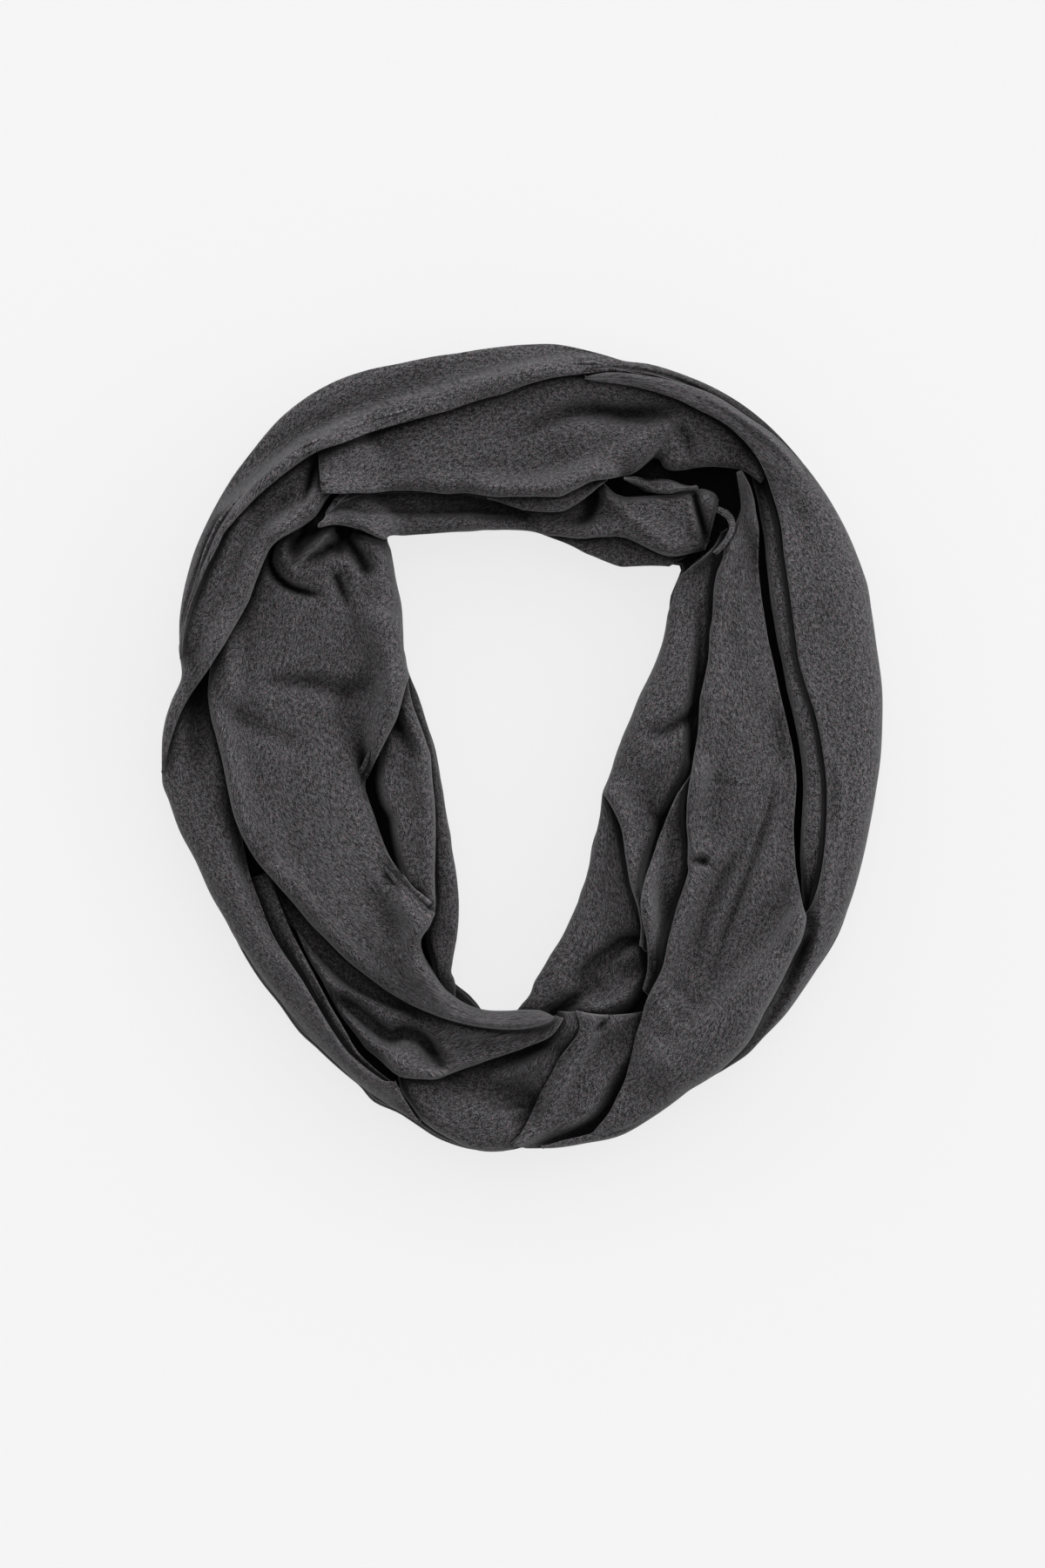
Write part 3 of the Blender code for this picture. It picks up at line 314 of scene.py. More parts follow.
LEFT_SIDE = (
    Stretch(
        name="left_outer_band", inner_roll=0.0026, inner_shoulder=0.012, outer_roll=0.0034, outer_shoulder=0.016,
        open_end="last",
        inner=((144, 54), (151, 52), (160, 44), (168.5, 36), (173.6, 39), (177, 36), (180, 33), (184.5, 30.5),
            (189, 29.6), (193.6, 29.6), (197.9, 29.4), (203.9, 28.1), (208.5, 27.5), (212.2, 26.1), (215.6, 24.6),
            (218.8, 23.8), (222.7, 24), (226.6, 24.9), (229.8, 25.8), (232.9, 26.6), (237, 26), (241, 25.2),
            (243, 22)),
        outer=((144, 66), (151, RIM), (205, RIM), (210, 43.5), (215, 40.8), (220, 38), (228, 36), (232, 34.8),
            (239, 34.3), (246, 33.5), (250.6, 33.5)),
        crest=((144, 2), (151, 4), (160, 5), (168.5, 8), (180, 11), (193, 11), (205, 10), (216, 8), (223, 7),
            (232, 5), (243, 3)),
        creases=(
            Crease(9, 6, ((166, 50, 4), (168, 50, 6), (171, 52, 8), (174.8, 50.5, 7), (179.3, 48, 5.5),
                (182, 46, 2), (186, 43, 0))),
            Crease(3, 5, ((181, 38.5, 0), (187, 34.8, 3), (192, 31.8, 5), (197, 29.6, 9), (204, 28, 8),
                (210, 26.5, 4), (214, 25.5, 0))),
            Crease(1.5, 1.5, ((210.3, 44, 0), (214.8, 41.2, 3), (219.1, 38.9, 3), (223.3, 37.2, 3),
                (226.6, 36.1, 3), (229.4, 35.8, 0))),
        )),
    Stretch(
        name="left_front_panel", inner_roll=0.0030, inner_shoulder=0.014, outer_roll=0.0028, outer_shoulder=0.012,
        open_end="last",
        inner=((131, -6), (134, RIM), (159, RIM), (162, -52.5), (166, -52), (170, -51), (174, -48), (178.3, -43.5),
            (181.7, -39.5), (184.1, -36.2), (186, -35.2), (188, -36), (192.4, -38.2), (198.2, -40), (201.2, -41),
            (204.7, -42.9), (208, -45.1), (211.6, -47.5), (215, -50), (217.5, -51.5), (219.5, -51.5), (221, -48.5),
            (222.4, -44.5), (223.7, -38.6), (226, -35.5), (230, -33), (235, -31.5), (240, -30), (247, -30.5),
            (252, -31.5), (262, -34.8), (270, -36.3), (275.5, -35.6), (278.5, -33.5), (280.8, -31)),
        outer=((131, 14), (134, 26), (140, 31), (145, 38), (149, 40), (157, 41), (162, 44.5), (166, 46.5),
            (170, 45.8), (173.6, 43.2), (176.9, 39.6), (180.2, 36.6), (184.5, 34.2), (189, 32.1), (192.6, 29.1),
            (196.4, 24.8), (200.6, 18.3), (205.1, 12.2), (209.3, 8.1), (213.9, 3.3), (218.8, -0.7), (224.1, -5.3),
            (229.7, -9.2), (235.4, -13.1), (241.1, -16.7), (250, -21.2), (259.9, -24.6), (270.8, -26.7),
            (278.4, -28.4), (280.8, -30)),
        crest=((131, 6), (137, 11), (145, 13), (153, 12), (161, 12), (200, 12), (213, 11), (221, 10), (227, 9),
            (238, 8), (250, 7), (274, 7), (280.8, 4)),
        creases=(
            Crease(1.6, 2.5, ((144, 33.3, 5), (146, 34, 8), (148.1, 32.4, 9), (149.5, 28.1, 9), (150.4, 22.2, 9),
                (150.6, 15.4, 8), (150.3, 8.6, 5), (149.7, 1.2, 0))),
            Crease(2.2, 2.2, ((143.1, 33.7, 0), (145.2, 30.5, -2.5), (146.8, 26.6, -2.5), (147.8, 21.4, -2.5),
                (148, 15.7, -2), (146, 9, -2), (143.4, 2.8, -2), (142.6, -3.7, -2), (144.3, -9.9, 0))),
            Crease(1.5, 1.5, ((138.2, 13.6, -3), (140.3, 15, -6), (142.5, 16.6, -6), (144.7, 18.3, -5),
                (147, 19.9, -2), (148.5, 20.9, 0))),
            Crease(4, 4, ((136.9, 15.8, 6), (139.6, 19.3, 7), (142, 22.4, 7), (144.1, 24.2, 5), (146, 24.2, 0))),
            Crease(3, 3, ((139.7, 26.4, 8), (141.1, 24.9, 7), (142.6, 25.5, 5), (144.2, 26.9, 0))),
            Crease(3, 3, ((141.2, 9.5, 7), (143.1, 11.7, 5), (144.5, 15.1, 3), (146.3, 17.5, 0))),
            Crease(3.5, 3.5, ((137.2, 5.8, 9), (138.8, -1, 9), (139.9, -6.4, 8), (141.2, -11.8, 6),
                (142.1, -17, 0))),
            Crease(3.5, 3.5, ((136.9, 9.4, 10), (138.7, 6.9, 10), (140.7, 5.3, 6), (142.5, 4.6, 0))),
            Crease(2.5, 2.5, ((144.7, 1.9, 0), (145.9, -2, 5), (147.5, -6.4, 5), (149.1, -10.6, 3),
                (151.1, -15.9, 1.5), (155, -21.8, 1.2), (159.2, -26.2, 0))),
            Crease(2.5, 2.5, ((138, 13.8, 6), (136.5, 6, 8), (135.2, -2.5, 7), (133.4, -13.2, 4))),
            Crease(3, 3, ((136.1, 4.6, 0), (136.7, -4, -2), (137, -14, -2), (139.1, -22.2, 0))),
            Crease(4, 7, ((167.9, 20.5, 0), (167.1, 11.1, 4), (166.3, 0.3, 5), (166.1, -10.7, 5), (166.2, -22, 5),
                (165, -30.4, 4), (163.3, -38.6, 0))),
            Crease(5, 5, ((170, 23.1, 0), (169.2, 10.2, -1.5), (168.8, -3, -2), (170.2, -14.6, -1.5),
                (171.5, -23.9, 0))),
            Crease(5.5, 5.5, ((167.6, -24.8, 3), (171.8, -29.3, 4), (176.2, -32.3, 6), (179.8, -34.7, 9),
                (183.2, -36.8, 12), (186.4, -38.9, 12))),
            Crease(3, 3, ((168.8, -19.9, 0), (172.1, -21.8, 2.5), (175.5, -24.3, 2), (178.1, -27.2, 0))),
            Crease(6, 6, ((170.7, 41.5, 3), (172.5, 34.7, 4), (174.6, 24, 4), (176.2, 12.7, 3.5), (177.8, 0, 2),
                (178.6, -8, 0))),
            Crease(7, 7, ((206, -22, 0), (211, -27, 2.5), (217, -31, 2.5), (222, -33, 0))),
            Crease(5, 1.2, ((231.4, -31.2, 1), (232.6, -23.8, 1.5), (233.5, -14.2, 0))),
        ),
        firm=((201, 1), (207, 0), (218, 0), (221, 1))),
    Stretch(
        name="left_upper_roll", inner_roll=0.0034, inner_shoulder=0.012, outer_roll=0.0024, outer_shoulder=0.006,
        open_end="last",
        inner=((124, 19), (131, 22), (133.6, 23.6), (137.2, 23.2), (140.1, 25.7), (142.3, 29.5), (144.7, 34),
            (146.6, 35.6), (151.5, 35.5), (154.5, 35.4), (157.5, 36.9), (160.1, 39.1), (162.7, 41.6), (164.9, 44.5),
            (166.7, 47), (169.1, 51), (171.1, 54.6), (173.5, 58.2), (175.6, 60.6), (178, 63), (180, 64.8),
            (182, 66)),
        outer=((124, 39), (128.3, 45), (133.4, 50.5), (139.6, 56.5), (145.3, 60.8), (149, 61.5), (152, 61.5),
            (157, 62.5), (160, 63), (164, 64), (168.5, RIM), (182, RIM)),
        crest=((124, 6), (128, 10), (134, 12.5), (142, 13), (156, 11.5), (163, 10), (168.5, 7), (173, 5),
            (182, 1.5)),
        creases=(
            Crease(1.8, 1.8, ((129.4, 42.6, 0), (130.1, 40.3, 3), (132.4, 37.3, 6), (134.4, 34.4, 6),
                (136.2, 33.1, 4), (137.5, 32, 0))),
            Crease(5, 5, ((140.8, 47.5, 0), (139.1, 40.4, 1.5), (137.2, 33.7, 2), (135.8, 28.7, 0))),
        )),
)

TOP_INNER = (
    Stretch(
        name="top_inner_band", inner_roll=0.0030, inner_shoulder=0.009, outer_roll=0.0022, outer_shoulder=0.006,
        open_end="first",
        inner=((40, 1), (40.8, -5), (41.8, -12), (43.5, -17.5), (46, -21), (49, -24), (52, -26.5), (55, -30),
            (57, -33.5), (60, -38), (63, -42), (67, -45), (72, -47), (78, -48.7), (82, RIM), (133, RIM), (135, 0),
            (137.1, 12.7), (139.3, 19)),
        outer=((46.4, 20.8), (47.5, 21.3), (49.4, 18.9), (51, 13.9), (51.8, 10), (53, 4.5), (55.7, -2.5),
            (58.5, -8.7), (60.7, -12.5), (63.5, -14), (66, -13), (68.1, -12.5), (72, -15.5), (77, -22), (85, -26),
            (95, -26), (105, -22), (113, -13), (120, -4), (125, 6), (128, 12), (130.5, 17.5), (133.8, 19.5)),
        crest=((40, 5), (44, 9), (57, 9), (70, 8.5), (90, 9), (115, 9), (125, 6), (137, 5), (139.3, 3)),
        creases=(
            Crease(9, 5, ((135.4, 24, 10), (132.4, 18, 14), (130.5, 8, 14), (126.6, -2.8, 14), (119.1, -18, 14),
                (108.3, -31, 12), (95.7, -38.4, 9), (81, -41.9, 5), (70.5, -37.5, 4), (67.1, -30.8, 4),
                (66.9, -21.9, 5))),
            Crease(1.8, 5, ((67.8, -15.3, 5), (66.4, -22.5, 6), (65.2, -29, 5), (65.6, -34.6, 3),
                (69.6, -39.8, 0))),
            Crease(3.5, 3.5, ((67.2, -14.1, 0), (64.9, -16.1, -2.5), (61.4, -17.8, -2.5), (56.7, -18.3, -2.5),
                (51.5, -16.4, -2), (46, -13, -1), (42.1, -8.5, 0))),
            Crease(2.2, 2.2, ((49.7, 12.6, 6), (47.7, 10, 7), (45.4, 7.7, 7), (42.9, 5.4, 6), (40.5, 2.9, 4))),
            Crease(2, 2, ((49.9, 8.5, 0), (47.6, 5.3, -1.5), (45.1, 2.8, -1.5), (42.6, 0.1, 0))),
            Crease(2, 2, ((48.1, 18.9, 0), (46.5, 16, -2), (44.5, 12.5, -2), (42.3, 9.1, -1.5), (40.9, 5.2, 0))),
        )),
    Stretch(
        name="top_second_fold", inner_roll=0.0024, inner_shoulder=0.006, outer_shoulder=0.007,
        inner=((66.8, -12.5), (67.5, -15), (68.5, -20), (70, -25.5), (72, -30.5), (75, -35), (80, -37.2), (85, -38),
            (90, -37.8), (95, -35.8), (100, -32.3), (104.5, -28.5)),
        outer=((66.8, -8), (70, -9), (75, -17), (84, -25), (94, -26), (104, -21)),
        crest=((66.8, 3), (70, 4), (84, 3.5), (94, 3), (104.5, 2))),
    Stretch(
        name="right_narrow_roll", inner_roll=0.0022, inner_shoulder=0.005, outer_shoulder=0.004,
        inner=((333, 34), (336.3, 33.5), (339.5, 30.5), (344.8, 26), (350.3, 24), (355.9, 23.2), (361.2, 21.4),
            (366.6, 19), (372.5, 17.1), (378.4, 17.1), (385.1, 19.2), (392.3, 24.8), (397, 30.3), (399.8, 33.2),
            (402.5, 36.7), (404.5, 39), (406.5, 41.5)),
        outer=((333, 40), (337.8, 39), (341.3, 39), (345.4, 38.3), (350.7, 37), (356.1, 35.6), (361.5, 33.1),
            (367, 30.5), (371.2, 27.8), (375.6, 26.3), (381.3, 27.9), (386.9, 31), (392.5, 35.2), (397.9, 41),
            (401.4, 44.2), (404.6, 47.3), (406.5, 49)),
        crest=((333, 3), (339, 9), (345, 13), (390, 13), (396, 11), (401, 8), (406.5, 3))),
)

TOP_OUTER = (
    Stretch(
        name="top_front_panel", inner_roll=0.0034, inner_shoulder=0.020, outer_shoulder=0.011, open_end="last",
        inner=((44.5, 43), (48, 39.3), (49.3, 35.8), (51.4, 29.7), (53.4, 23), (54.8, 17.4), (56.6, 12.8),
            (58, 11.5), (59.7, 13.1), (60.9, 11.8), (61.3, 7), (61.6, 3.5), (62.5, -1.4), (63.9, -4.7),
            (66.2, -9.4), (69.9, -14.9), (73.5, -22.5), (78.2, -28.8), (85, -30.5), (90, -31), (95, -30.5),
            (100, -29.5), (105, -26.5), (110, -21.5), (115, -17), (120, -8), (125, 2), (128, 8), (130, 14),
            (132, 20), (133.9, 27.4)),
        outer=((46, 54), (50, 57), (56, 56), (62, 52.5), (68, 49.5), (73, 47), (77, 45), (80, 43), (85, 39.5),
            (90, 36), (95, 33), (100, 31.5), (105, 31), (110, 32), (115, 34), (120, 37), (123.5, 39.5), (126, 41.5),
            (128.6, 43)),
        crest=((44.5, 4), (49.5, 9), (54, 11), (61.5, 11), (66, 11), (73, 11), (92, 10), (103, 10), (114, 9),
            (123, 7), (129, 5.5), (133.9, 4)),
        creases=(
            Crease(5, 5, ((96, -5, 0), (91.5, 0.5, 2.5), (88.8, 4, 5), (83.2, 11, 8), (78.3, 17, 10),
                (74, 20.3, 12), (70, 23.5, 12), (66.5, 29, 9), (63.3, 36, 3), (61.8, 40, 0))),
            Crease(4, 4, ((61.5, 35, 0), (59.7, 31.8, 4), (57.7, 29.2, 4.5), (55.9, 25.5, 3.5), (54.7, 20.2, 3))),
            Crease(5, 5, ((58, 36, 0), (61, 35, -2), (64, 20, -3), (67, 5, -3), (72, -9, -2), (79, -20, 0))),
        )),
    Stretch(
        name="top_outer_sweep", inner_roll=0.0034, inner_shoulder=0.011, outer_roll=0.0034, outer_shoulder=0.024,
        open_end="last",
        inner=((40, 52), (45, 53), (50, 53.5), (55, 51.5), (60, 49), (65, 46), (70, 43), (75, 40.5), (80, 34.5),
            (85, 30), (90, 25.5), (95, 21.5), (100, 20.5), (105, 20), (110, 22), (115, 25.5), (120, 30.5),
            (125, 36), (129, 42.5), (135, 48.5), (140, 53.5), (145, 58), (147.5, 59.9), (149.3, 60), (153, 61.5),
            (157, 62.5), (160, 63), (163, 62.5), (166, 61)),
        outer=((40, 60), (44, RIM), (166, RIM)),
        crest=((40, 2), (44, 2.5), (75, 2.5), (88, 3.5), (133, 3.5), (143, 3.5), (150, 3.5), (156, 3), (166, 2)),
        creases=(
            Crease(7, 1.5, ((76.5, 47.2, 0), (79, 44.5, -3), (82, 42, -4), (87.6, 37.5, -4.5), (96.7, 32.7, -4.5),
                (104.7, 32.2, -4.5), (112.4, 35.7, -4.5), (118.4, 40.3, -4), (123.8, 45, -3.5), (128.9, 50.5, -3.5),
                (133.4, 54.7, -3), (137.2, 57.7, -2.5), (141.2, 60.8, -2), (145, 62.3, 0))),
            Crease(2, 1.5, ((53, 60, 0), (56.3, 57.4, 1.5), (59.2, 55.2, 2.5), (62.1, 53.2, 3), (64.9, 51.1, 3),
                (67.7, 48.9, 3), (70.3, 46.2, 3), (73, 43.6, 3), (75.8, 40.6, 3), (78.5, 37.3, 2.5),
                (81.3, 33.5, 0))),
            Crease(1.5, 2, ((143.8, 63.4, 0), (146.3, 64.7, 3), (148.8, 65.1, 4), (151.7, 64.6, 4),
                (154.3, 64.5, 4), (157.6, 64.4, 4), (160.6, 64.5, 3), (162.9, 64.9, 0))),
        )),
)

RIGHT_SIDE = (
    Stretch(
        name="right_outer_turn", inner_roll=0.0034, inner_shoulder=0.010, outer_roll=0.0020, outer_shoulder=0.026,
        open_end="last",
        inner=((300, 12), (312, 18), (325, 26), (334, 34), (337.8, 38), (341.3, 38.4), (345.4, 37.8), (350.7, 36.5),
            (356.1, 35), (361.5, 32.6), (367, 30), (371.2, 27.2), (375.6, 25.6), (381.3, 27.3), (386.9, 30.5),
            (392.5, 34.8), (397.9, 41), (402.7, 45.1), (404.8, 47.1), (407.8, 49.1), (410.1, 49.6), (414, 49.1),
            (417.1, 47.2), (420.1, 44.8), (423.2, 43.1), (426.2, 40.8), (429.1, 38.7), (432.1, 36.4), (435, 34.3),
            (437.4, 32.8), (439.3, 32.2)),
        outer=((300, 31), (312, RIM), (402, RIM), (404.6, 65.3), (407.4, 64), (410.4, 62), (413.3, 59.4),
            (416.4, 57.6), (419.4, 55.8), (422.1, 53.2), (424.8, 50.3), (427.5, 47.6), (430.1, 44.6), (432.9, 42),
            (435.6, 39.2), (437.7, 36.3), (439.4, 33.5)),
        crest=((300, 3), (312, 6), (325, 9), (337, 12), (350, 13), (384, 13), (396, 10), (405, 6), (412, 4.5),
            (420, 3.5), (430, 3), (439.3, 2)),
        creases=(
            Crease(4, 2, ((361.4, 37.5, 0), (358.1, 39.7, -2.5), (354.9, 41.1, -3), (349.6, 41.9, -3),
                (344.3, 42, -2.5), (338.9, 43, -2), (334, 44.5, -2), (328, 46, -2), (322, 46.5, -1.5),
                (316, 45, 0))),
            Crease(3.5, 2.5, ((346.4, 36, 0), (342.1, 36.1, 3), (338.6, 35.8, 4), (335.9, 37.1, 4),
                (334.2, 40.3, 4), (330.9, 41.1, 4), (327.7, 40.7, 4), (324.4, 40.9, 4), (321.3, 41.3, 3.5),
                (318.5, 41.6, 3.5), (314.7, 41.8, 2.5), (310.7, 41.5, 0))),
            Crease(2, 2, ((401, 62.5, 0), (403.8, 62.5, -3), (406.5, 61.5, -3.5), (409.8, 59.8, -3.5),
                (413, 57.8, -3), (416, 55.6, -2), (419, 53.3, -1), (422, 51.2, 0))),
        ),
        firm=((300, 1), (340, 1), (350, 0.4), (388, 0.4), (398, 1))),
    Stretch(
        name="right_inner_panel", inner_roll=0.0030, inner_shoulder=0.011, outer_shoulder=0.009, open_end="last",
        inner=((316, -33), (320, -37), (323.8, -42.7), (328.8, -51.7), (335.4, -59.2), (342.2, -65.1),
            (346.6, -70.9), (349.6, -75.5), (351, RIM), (390, RIM), (394, -25.5), (396, -22), (397.8, -17),
            (398.5, -11), (398.8, -5), (399.2, 1), (400, 7), (401.3, 12.5)),
        outer=((316, -27), (320, -31), (325, -38), (330, -42), (335, -43), (340.5, -42.7), (346.6, -40.6),
            (351.7, -37.4), (355.9, -31.9), (361.8, -29), (370, -25), (375, -21), (380, -15.5), (385, -11),
            (390, -4.5), (395, 3.5), (397.5, 10), (399.5, 16), (401.3, 18.5)),
        crest=((316, 4), (322, 7), (330, 9), (340, 10), (350, 10), (361, 11), (372, 11), (383, 10), (391, 8),
            (397, 6), (401.3, 3)),
        creases=(
            Crease(4, 3, ((371, -25, 5), (369.5, -31, 8), (367.8, -39, 6), (366, -50, 4), (366.3, -60, 0))),
            Crease(2.8, 2.8, ((389.6, -13.9, 2), (383, -20.6, 5), (376.2, -26.6, 8), (370.6, -31, 9), (365, -33, 9),
                (361, -33.5, 8))),
            Crease(5, 5, ((358.1, -54.9, 0), (353, -55.6, 2), (348, -51.7, 4), (345.5, -45.4, 5),
                (343.7, -42.4, 3))),
            Crease(2.2, 2.2, ((361.1, -32.5, 6), (357.4, -34.2, 7), (353.6, -38.1, 6), (349.6, -42.4, 6),
                (345.5, -45.4, 6), (340.6, -46.7, 6), (335.9, -46.5, 5), (331.3, -46.5, 4), (326, -43.3, 0))),
        )),
    Stretch(
        name="right_middle_strip", inner_roll=0.0026, inner_shoulder=0.007, outer_shoulder=0.007,
        inner=((308, -18), (312, -22), (318, -31), (323, -40), (327, -44.2), (333.4, -46.2), (340.5, -45.7),
            (346.6, -43.6), (351.7, -40.4), (355.9, -34.9), (358, -32)),
        outer=((308, -10), (314.4, -14), (322.1, -19.5), (329.9, -23), (336.4, -23.6), (343, -28), (347, -30.5),
            (352, -31.5), (358, -29.5)),
        crest=((308, 3), (316, 5), (324, 7), (335, 8), (346, 7), (358, 3)),
        creases=(
            Crease(2.2, 2.2, ((353.8, -34.6, 3), (349.2, -34.3, 6), (344.7, -31.6, 6), (341.1, -28.8, 6),
                (338.2, -26.5, 6), (334.8, -25.8, 4), (330.9, -25.2, 3), (325.9, -23.6, 3), (321, -21.2, 3),
                (317.4, -18.9, 2))),
        )),
    Stretch(
        name="right_front_panel", inner_roll=0.0030, inner_shoulder=0.011, outer_roll=0.0030, outer_shoulder=0.011,
        open_end="first",
        inner=((272.8, 33.1), (277.3, 31.1), (281.8, 30.9), (283.8, 28.1), (286.5, 23.7), (289.1, 18.1),
            (292, 12.6), (294.2, 7.5), (296.3, 3), (299, -2.5), (303, -8), (306, -12), (309, -14.2), (314.4, -16.7),
            (322.1, -22.8), (329.9, -26.1), (336.4, -26.6), (338, -28), (343, -31), (347, -33.5), (352, -34.5),
            (360, -32.5), (365, -30), (370, -28), (372, -27), (375, -24), (380, -18.5), (385, -14), (387, -11),
            (390, -7.5), (392, -5), (395, 0.5), (397, 6.5), (399, 11), (400.4, 16.7), (401.7, 23), (403, 27.5),
            (404.9, 30.8), (406.7, 33.7), (408.3, 36.4)),
        outer=((272.8, RIM), (302, RIM), (305, 38), (308, 39.3), (313, 40.5), (316.2, 39.5), (319.3, 38.4),
            (328.4, 38.2), (331.5, 38.9), (334.9, 37.6), (336.7, 33.9), (339.2, 29.8), (343.2, 24.5), (350.2, 20.2),
            (355.9, 19.8), (361.3, 17.8), (366.6, 15.1), (372.6, 13.2), (378.6, 12.8), (385.4, 15), (392.7, 20.7),
            (396.6, 26.7), (398.6, 30), (400.7, 32.4), (403, 35.6), (405.4, 37.9), (408, 39.2)),
        crest=((272.8, 2), (276, 2.5), (281, 3), (288, 6), (294, 9), (300, 11), (309, 12), (340, 12), (347, 11),
            (368, 11), (380, 10), (389, 9.5), (396, 9), (402, 8), (408.3, 4)),
        creases=(
            Crease(8, 8, ((370, 17, 3), (366, 12, 4.5), (361, 10, 3.5), (357, 10, 0))),
            Crease(3, 3, ((356.4, 9.9, 0), (351.9, 7.4, 3), (348, 5.7, 4), (343.2, 4.2, 4.5), (339, 2.6, 4.5),
                (334.8, 2, 4.5), (331, 2, 4.5), (327, 2.4, 4), (322.9, 5, 3), (318.7, 7.9, 2), (314.6, 11.5, 0))),
            Crease(5, 5, ((348.5, 0.8, 0), (343.9, -3.4, 3.5), (341.1, -5.7, 5), (337.9, -8.4, 6),
                (333.6, -10.3, 6), (329.4, -10.9, 5), (324.7, -9.5, 4), (320.4, -6.1, 3), (316.1, -2, 0))),
            Crease(2.5, 2.5, ((337, -27.5, 4), (339.2, -24.5, 6), (339.4, -21, 5), (339.8, -17, 0))),
            Crease(2, 3, ((313, -14.3, 0), (312.2, -10.4, -2), (311.2, 1.7, -2.5), (311, 10, -2), (311.4, 17, 0))),
            Crease(8, 8, ((309, -8, 0), (308.5, -2, -4), (307.5, 5, -4), (306, 12, 0))),
            Crease(4, 4, ((397.2, 30, 4), (395.6, 25, 5), (393.4, 20, 4), (390.2, 14, 2), (386.7, 9, 0))),
            Crease(1, 1, ((356.3, -27.9, 0), (355.7, -21.7, 1.2), (355.3, -15, 1.2), (355.3, -8.4, 0))),
            Crease(1.2, 1.2, ((282, 33.4, 0), (284.8, 34.2, 1.5), (287.9, 35.1, 1.5), (291.2, 35.4, 1.5),
                (293.9, 34.8, 0))),
        ),
        firm=((289, 1), (295, 0.2), (303, 0.2), (308, 1))),
)

KNOT = (
    Stretch(
        name="knot_ribbon", inner_shoulder=0.002, outer_shoulder=0.002,
        inner=((50.6, 15.8), (51.9, 10), (53.3, 4.3), (55.3, -0.4), (57.9, -3.5), (60.5, -4.9), (62.9, -5.6)),
        outer=((50.7, 17), (52.8, 12.1), (54.5, 10.2), (56.5, 7.2), (58.7, 1.9), (61.2, -1.5), (63.2, -4.5)),
        crest=((50.6, 2), (53.3, 4), (57.9, 4), (62.9, 2))),
    Stretch(
        name="knot_loop", inner_shoulder=0.0015, outer_shoulder=0.0015,
        inner=((38.9, 3.6), (39.4, 8.4), (40.3, 13.9), (41.4, 17.6), (43.1, 18.5), (44.7, 16.6)),
        outer=((38.2, 4.5), (38.5, 9.5), (39.5, 16), (41.2, 20.9), (43.2, 21.9), (45.3, 19.2)),
        crest=((38.9, 0.4), (40.3, 0.6), (43.1, 0.6), (44.7, 0.4))),
)


def ring_point(deg, out):
    """Plan position of a place at an angle on the spine and a distance out from it, in metres."""
    angle = np.radians(deg)
    across = np.cos(angle) / SPINE_HALF_WIDTH
    along = np.sin(angle) / SPINE_HALF_LENGTH
    unit = np.hypot(across, along)
    x = SPINE_CENTRE[0] + SPINE_HALF_WIDTH * np.cos(angle) + out * across / unit
    y = SPINE_CENTRE[1] + SPINE_HALF_LENGTH * np.sin(angle) + out * along / unit
    return x, y


def smooth_curve(knots, values, at):
    """Cubic curve through the values that never swings past them between the knots."""
    knots = np.asarray(knots, dtype=float)
    values = np.asarray(values, dtype=float)
    step = np.diff(knots)
    slope = np.diff(values) / step
    before = slope[:-1]
    after = slope[1:]
    same_way = before * after > 0.0
    total = np.where(same_way, before + after, 1.0)
    tangent = np.concatenate((slope[:1], np.where(same_way, 2.0 * before * after / total, 0.0), slope[-1:]))
    cell = np.clip(np.searchsorted(knots, at, side="right") - 1, 0, len(step) - 1)
    u = (at - knots[cell]) / step[cell]
    rise = values[cell] + u * u * (3.0 - 2.0 * u) * (values[cell + 1] - values[cell])
    swing = u * (1.0 - u) ** 2 * tangent[cell] - u * u * (1.0 - u) * tangent[cell + 1]
    return rise + swing * step[cell]


def outline(deg, table):
    """Neck or rim outline of the scarf at the given angles, in metres out from the spine."""
    knots = [row[0] + turn for turn in (-360.0, 0.0, 360.0) for row in table]
    values = [row[1] * MM for row in table] * 3
    return smooth_curve(knots, values, np.asarray(deg, dtype=float) % 360.0)


def shoulder(distance, width):
    """Quarter round that climbs from 0 at an edge to 1 at the shoulder's width."""
    reach = np.clip(distance / np.maximum(width, NEARLY_NOTHING), 0.0, 1.0)
    return np.sqrt(1.0 - (1.0 - reach) ** 2)


def slope_in(distance, width):
    """Gentle slope that climbs from 0 at a tucked edge to 1 at the shoulder's width."""
    reach = np.clip(distance / np.maximum(width, NEARLY_NOTHING), 0.0, 1.0)
    return reach * reach * (3.0 - 2.0 * reach)


def lengths_along(points):
    """Distance travelled along the first axis of a run of points."""
    steps = np.linalg.norm(np.diff(points, axis=0), axis=-1)
    return np.concatenate((np.zeros((1,) + steps.shape[1:]), np.cumsum(steps, axis=0)))


def between(grid, rows, column, u, v):
    """Value of a grid at a share of the way between two rows, and from a column to the next."""
    near, far = rows
    low = grid[near, column] * (1.0 - u) + grid[far, column] * u
    high = grid[near, column + 1] * (1.0 - u) + grid[far, column + 1] * u
    return low * (1.0 - v) + high * v


def cloth_places(skin, middle):
    """Place of every point of a skin in the cloth: metres along it, and across it from one column."""
    along = lengths_along(skin)
    across = lengths_along(skin.transpose(1, 0, 2)).T
    across = across - across[:, middle][:, None]
    return np.stack((along, across, np.zeros_like(along)), axis=2).reshape(-1, 3)


